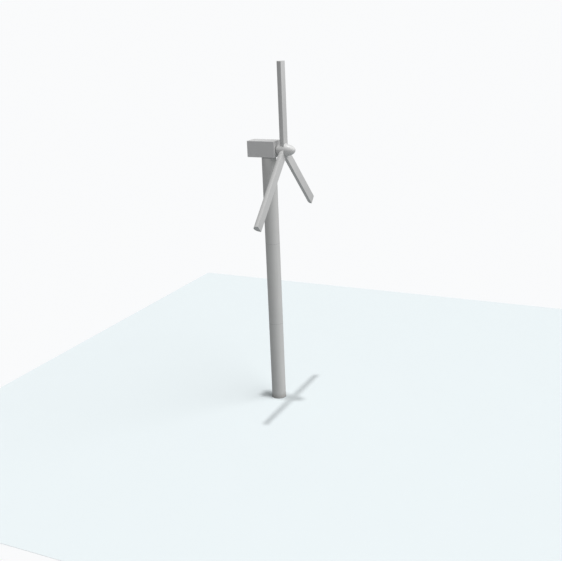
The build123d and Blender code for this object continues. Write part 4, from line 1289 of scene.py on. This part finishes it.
# --- Rotor -------------------------------------------------------------------
@dataclass
class Spinner:
    """The egg-shaped spinner with its screw ring and rear edge, and the hub inside."""

    half_length: float = 2.5
    radius: float = 1.34
    middle: float = 4.0
    screw_count: int = 40
    screw_across: float = 0.034
    screw_height: float = 0.010

    def screws(self) -> Surface:
        """Screw heads around the nose, where the spinner is fixed to its bulkhead.

        Returns:
            The heads, on the ellipse's radius at the bulkhead, each along the surface's normal.
        """
        hub_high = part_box("hub_casting")[1]
        _, hub_y, hub_z = JOINTS["rotor_spin"]["pos_m"]
        x = hub_high.x + 0.012
        ring = self.ring_at(x)
        angle = 2 * math.pi * (np.arange(self.screw_count) + 0.5) / self.screw_count
        y, z = hub_y + ring * np.cos(angle), hub_z + ring * np.sin(angle)
        places = np.column_stack((np.full(len(angle), x), y, z))
        slope = (x - self.middle) / self.half_length**2 * self.radius**2 / ring
        normals = np.column_stack((np.full(len(angle), slope), np.cos(angle), np.sin(angle)))
        return bolt_heads(places, normals, self.screw_across, self.screw_height)

    def ring_at(self, x: float) -> float:
        """The egg's radius at a place along its axis: radius * sqrt(1 - ((x - middle) / half_length)^2).

        Args:
            x: The place along X.

        Returns:
            The radius there, in metres.
        """
        return self.radius * math.sqrt(1 - ((x - self.middle) / self.half_length) ** 2)

    def rear_edge(self) -> Surface:
        """The rubber edge around the spinner's rear opening."""
        _, hub_y, hub_z = JOINTS["rotor_spin"]["pos_m"]
        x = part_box("spinner_shell")[0].x
        inner = -0.026
        profile = np.array(
            ((inner, 0.02), (inner, -0.004), (-0.012, -0.012), (0.003, -0.006), (0.008, 0.012), (0.004, 0.02))
        )
        ring = lathe(profile + (self.ring_at(x), 0.0), 96)
        return ring.moved(turned_about((1.0, 0.0, 0.0), (x, hub_y, hub_z)))

    def build(self) -> None:
        """Makes the spinner and the hub's copies."""
        smooth_copy("spinner_shell", "spinner", shading=Shading.CREASED)
        new_piece("spinner_screws", self.screws(), Body.ROTOR, BOLT_STEEL)
        edge = self.rear_edge()
        new_piece("spinner_edge", edge, Body.ROTOR, SEAL, shading=Shading.ROUND)
        for node in ("hub_casting", "hub_bolts", "pitch_outer_rings", "pitch_drives"):
            smooth_copy(node, f"{node}_body")
        for number in (1, 2, 3):
            smooth_copy(f"pitch_pinion_{number}", f"pitch_pinion_{number}_body")


@dataclass
class Blade:
    """One straight blade of half-oval section: two skins, tip cap, root rib and small fittings."""

    number: int
    edge: float = 0.016
    steps: int = 64
    receptor_radius: float = 0.045
    receptor_inset: float = 0.45
    tape_width: float = 0.20
    tape_share: float = 0.34
    tape_thickness: float = 0.0012
    origin: np.ndarray = field(init=False)
    axis: np.ndarray = field(init=False)
    across: np.ndarray = field(init=False)

    def __post_init__(self) -> None:
        """Reads the blade's own axes and spans from its pitch joint and CAD skins."""
        joint = JOINTS[f"blade_pitch_{self.number}"]
        self.origin = np.array(joint["pos_m"], dtype=float)
        self.origin[0] = 0.0
        self.axis = np.array(joint["axis"], dtype=float)
        self.across = np.array((0.0, self.axis[2], -self.axis[1]))
        node = frame["nodes"][f"blade_{self.number}_flat_shell"]
        points = np.empty(len(node.data.vertices) * 3)
        node.data.vertices.foreach_get("co", points)
        points = points.reshape(-1, 3) - self.origin
        self.span = (float((points @ self.axis).min()), float((points @ self.axis).max()))
        self.half = float(np.abs(points @ self.across).max())
        self.face = float(points[:, 0].max())
        self.skin = float(points[:, 0].max() - points[:, 0].min())
        self.depth = self.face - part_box(f"blade_{self.number}_round_shell")[0].x
        self.root_radius = (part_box("blade_1_root")[1].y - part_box("blade_1_root")[0].y) / 2
        self.pitch_x = JOINTS[f"blade_pitch_{self.number}"]["pos_m"][0]
        self.body = f"blade_{self.number}"

    def placed(self, surface: Surface) -> Surface:
        """Moves a surface from the blade's own axes (x, across, along) into the row frame."""
        x, across, along = surface.points.T
        points = self.origin + np.outer(x, (1.0, 0.0, 0.0)) + np.outer(across, self.across)
        return Surface(points + np.outer(along, self.axis), surface.faces)

    def front(self) -> Surface:
        """The flat skin: a thin rounded slab from root to tip."""
        outline = rounded_rectangle(self.skin / 2, self.half, self.skin * 0.45, 24, 5)
        slab = bar(outline, self.span[1] - self.span[0], self.skin * 0.4)
        return slab.moved(Matrix.Translation((self.face - self.skin / 2, 0.0, self.span[0])))

    def skin_line(self, angle: np.ndarray, grow: float) -> np.ndarray:
        """Points on the rounded skin's oval.

        Args:
            angle: Angles around the oval, 0 at one long edge and pi at the other.
            grow: How far outside the skin the points lie; negative is inside.

        Returns:
            (x, across) points.
        """
        x = self.face - (self.depth + grow) * np.sin(angle)
        return np.stack((x, (self.half + grow) * np.cos(angle)), -1)

    def arc(self, shrink: float, limit: float) -> np.ndarray:
        """Half an oval bulging away from the nose, cut where it meets the front skin.

        Args:
            shrink: How far inside the outer skin the arc runs; negative is outside.
            limit: Distance of the cut behind the flat face.

        Returns:
            (x, across) points: x = face - depth sin a, across = half cos a, with a from asin(limit / depth)
            to the same angle from the far side.
        """
        start = math.asin(limit / (self.depth - shrink))
        return self.skin_line(np.linspace(start, math.pi - start, self.steps), -shrink)

    def back(self) -> Surface:
        """The rounded skin as a U-shaped shell carried along the blade.

        Returns:
            The shell. Its section is the outer arc, then the inner arc back to the start.
        """
        outer = self.arc(0.0, self.skin)
        inner = self.arc(self.skin, self.skin)[::-1]
        section = np.vstack((outer, inner))
        start, end = self.span[0] + 0.001, self.span[1] - self.edge * 1.5
        stations = np.linspace(start, end, 12)
        rings = np.array([np.column_stack((section, np.full(len(section), along))) for along in stations])
        ends = []
        for ring in (rings[0], rings[-1]):
            half = len(outer)
            ends.append(grid(np.array((ring[:half], ring[half:][::-1])), loop_columns=False))
        return grid(rings) + ends[0] + ends[1]

    def plate(self, shrink: float) -> np.ndarray:
        """The closed outline of a plate behind the front skin, as (x, across) points."""
        return self.arc(shrink, self.skin + 0.0005)

    def tip(self) -> Surface:
        """The cap that closes the tip, rounded over onto the half-round skin.

        Returns:
            The cap. Rings of the outline shrink by edge (1 - sin a) while they rise by edge (1 - cos a), then
            the flat closes onto the section's middle.
        """
        turn = np.linspace(0.0, math.pi / 2, 6)
        top = self.span[1]
        rows = [(0.0002, top - self.edge * 3.0)]
        rows += [(0.0002 + self.edge * (1 - math.cos(a)), top - self.edge * (1 - math.sin(a))) for a in turn]
        rings = []
        for shrink, along in rows:
            outline = self.plate(shrink)
            rings.append(np.column_stack((outline, np.full(len(outline), along))))
        return capped(np.array(rings))

    def rib(self) -> Surface:
        """The plate that closes the root around the root tube.

        Returns:
            The plate. Its outer outline is the half-round section and its inner one the tube's circle, whose
            points lie in the same directions from the pitch axis; the two faces are joined at both outlines.
        """
        arc = self.plate(self.skin + 0.001)
        chord = np.linspace(arc[-1], arc[0], 24)[1:-1]
        outline = np.vstack((arc, chord))
        middle = np.array((self.pitch_x, 0.0))
        direction = outline - middle
        direction /= np.linalg.norm(direction, axis=1, keepdims=True)
        circle = middle + direction * (self.root_radius + 0.0005)
        low, high = self.span[0] + 0.0005, self.span[0] + self.skin
        rows = [(circle, low), (outline, low), (outline, high), (circle, high)]
        rings = [np.column_stack((ring, np.full(len(ring), along))) for ring, along in rows]
        return grid(np.array(rings), loop_rows=True)

    def fittings(self) -> Surface:
        """Lightning receptors near the tip: one disc on each skin, slightly proud with a rounded rim."""
        radius = self.receptor_radius
        profile = ((0.0, -0.004), (radius, -0.004), (radius, 0.001), (radius * 0.93, 0.003), (0.0, 0.0035))
        angle = np.linspace(0.0, 2 * math.pi, 32, endpoint=False)
        circle = np.stack((np.cos(angle), np.sin(angle)), -1)
        disc = grid(np.array([np.column_stack((r * circle, np.full(len(angle), h))) for r, h in profile]))
        along = self.span[1] - self.receptor_inset
        front = disc.moved(turned_about((1.0, 0.0, 0.0), (self.face, 0.0, along)))
        back = disc.moved(turned_about((-1.0, 0.0, 0.0), (self.face - self.depth, 0.0, along)))
        return front + back

    def tape(self) -> Surface:
        """The protective film over one long edge of the outer blade.

        Returns:
            The film: a thin strip that follows the half-round skin, from the front edge back by its width.
        """
        start = math.asin(self.skin / self.depth) + 0.004
        angle = np.linspace(start, start + self.tape_width / self.depth, 14)
        rings = []
        length = (self.span[1] - self.span[0]) * self.tape_share
        for along in np.linspace(self.span[1] - length, self.span[1] - 0.08, 8):
            over, under = (self.skin_line(angle, grow) for grow in (self.tape_thickness, -0.002))
            section = np.vstack((over, under[::-1]))
            rings.append(np.column_stack((section, np.full(len(section), along))))
        return capped(np.array(rings))

    def build(self) -> None:
        """Makes the blade's pieces."""
        name, slot, gel = f"blade_{self.number}", "blade_gelcoat", BLADE_GELCOAT
        flat, curved = f"{name}_flat_shell", f"{name}_round_shell"
        new_piece(f"{name}_front_skin", self.placed(self.front()), self.body, gel, [flat])
        new_piece(f"{name}_back_skin", self.placed(self.back()), self.body, gel, [curved])
        new_piece(f"{name}_tip_cap", self.placed(self.tip()), self.body, gel)
        new_piece(f"{name}_root_rib", self.placed(self.rib()), self.body, gel)
        new_piece(f"{name}_receptors", self.placed(self.fittings()), self.body, RECEPTOR)
        new_piece(f"{name}_edge_film", self.placed(self.tape()), self.body, EDGE_FILM)
        smooth_copy(f"{name}_root", f"{name}_root_tube")
        smooth_copy(f"{name}_pitch_ring", f"{name}_bearing_ring")


# --- Studio ------------------------------------------------------------------
@dataclass
class Studio:
    """Camera, lights and the pale floor."""

    camera_place: tuple[float, float, float] = (85.10, -171.43, 88.81)
    yaw: float = -25.93
    down: float = 17.266
    roll: float = -2.318
    lens: float = 54.94
    floor_middle: tuple[float, float] = (10.6, 6.0)
    floor_half: float = 80.0
    floor_colour: Colour = (0.725, 0.780, 0.795)
    background: Colour = (0.955, 0.962, 0.97)
    ambient: float = 0.35
    sun_strength: float = 1.9
    sun_direction: tuple[float, float, float] = (0.76, 0.04, 0.65)
    sun_size: float = 70.0
    overhead_strength: float = 1.45
    overhead_size: float = 2.0
    floor_bounce: float = 0.4

    def floor(self) -> None:
        """A thin pale slab with its upper face just under the tower's base flange."""
        half = self.floor_half
        outline = rounded_rectangle(half, half, 0.5)
        slab = bar(outline, 0.06, 0.01).moved(Matrix.Translation((*self.floor_middle, -0.0605)))
        mesh = bpy.data.meshes.new("studio_floor")
        mesh.from_pydata(slab.points.tolist(), [], slab.faces.tolist())
        floor = bpy.data.objects.new("studio_floor", mesh)
        bpy.context.scene.collection.objects.link(floor)
        graph = Graph("studio_floor")
        tone = graph.mix(graph.noise(0.05), tinted(self.floor_colour, 0.985), self.floor_colour)
        seen = Value(graph, graph.node("ShaderNodeLightPath").outputs["Is Camera Ray"])
        tone = graph.mix(seen, tinted(self.floor_colour, self.floor_bounce), tone)
        graph.feed(graph.shader.inputs["Base Color"], tone)
        graph.shader.inputs["Roughness"].default_value = 0.9
        graph.shader.inputs["Specular IOR Level"].default_value = 0.1
        mesh.materials.append(graph.material)

    def lights(self) -> None:
        """Even white surroundings, a broad sun from the nose's side and a softer one from straight above."""
        world = bpy.data.worlds.new("surroundings")
        world.use_nodes = True
        tree = world.node_tree
        lit = tree.nodes["Background"]
        lit.inputs["Color"].default_value = (*self.background, 1.0)
        lit.inputs["Strength"].default_value = self.ambient
        seen = tree.nodes.new("ShaderNodeBackground")
        seen.inputs["Color"].default_value = (*self.background, 1.0)
        path = tree.nodes.new("ShaderNodeLightPath")
        blend = tree.nodes.new("ShaderNodeMixShader")
        tree.links.new(path.outputs["Is Camera Ray"], blend.inputs[0])
        tree.links.new(lit.outputs[0], blend.inputs[1])
        tree.links.new(seen.outputs[0], blend.inputs[2])
        tree.links.new(blend.outputs[0], tree.nodes["World Output"].inputs["Surface"])
        bpy.context.scene.world = world
        for name, strength, size, direction in (
            ("side_light", self.sun_strength, self.sun_size, self.sun_direction),
            ("overhead_light", self.overhead_strength, self.overhead_size, (0.02, 0.01, 1.0)),
        ):
            light = bpy.data.lights.new(name, "SUN")
            light.energy = strength
            light.angle = math.radians(size)
            lamp = bpy.data.objects.new(name, light)
            bpy.context.scene.collection.objects.link(lamp)
            lamp.matrix_world = turned_about(direction, (0.0, 0.0, 90.0))

    def camera(self) -> None:
        """Puts the camera in place: it looks along yaw and down, then rolls about its own axis."""
        yaw, down, roll = (math.radians(value) for value in (self.yaw, self.down, self.roll))
        level = math.cos(down)
        forward = np.array((math.sin(yaw) * level, math.cos(yaw) * level, -math.sin(down)))
        right = np.array((math.cos(yaw), -math.sin(yaw), 0.0))
        up = np.cross(right, forward)
        tilted_right = math.cos(roll) * right + math.sin(roll) * up
        tilted_up = math.cos(roll) * up - math.sin(roll) * right
        matrix = Matrix.Identity(4)
        for column, vector in enumerate((tilted_right, tilted_up, -forward, self.camera_place)):
            for row in range(3):
                matrix[row][column] = float(vector[row])
        data = bpy.data.cameras.new("camera")
        data.lens = self.lens
        data.clip_end = 2000.0
        camera = bpy.data.objects.new("camera", data)
        bpy.context.scene.collection.objects.link(camera)
        camera.matrix_world = matrix
        bpy.context.scene.camera = camera

    def build(self) -> None:
        """Sets the stage."""
        self.floor()
        self.lights()
        self.camera()
        bpy.context.scene.view_settings.view_transform = "Standard"


def dress_remaining_nodes() -> None:
    """Gives each CAD node that still shows the finish of its material slot."""
    for name, node in frame["nodes"].items():
        if node.hide_render:
            continue
        finish = FINISH_OF_SLOT[SLOT_OF_NODE[name]]
        for slot in node.material_slots:
            slot.material = finish.material()
        log.info("%s keeps its CAD shape, in %s", name, finish.name)


def main() -> None:
    """Builds every sub-assembly in order, then the studio."""
    logging.basicConfig(level=logging.INFO, format="%(message)s")
    Tower().build()
    TowerDoor().build()
    Nacelle().build()
    DriveTrain().build()
    Spinner().build()
    for number in (1, 2, 3):
        Blade(number).build()
    dress_remaining_nodes()
    Studio().build()


if __name__ == "__main__":
    main()
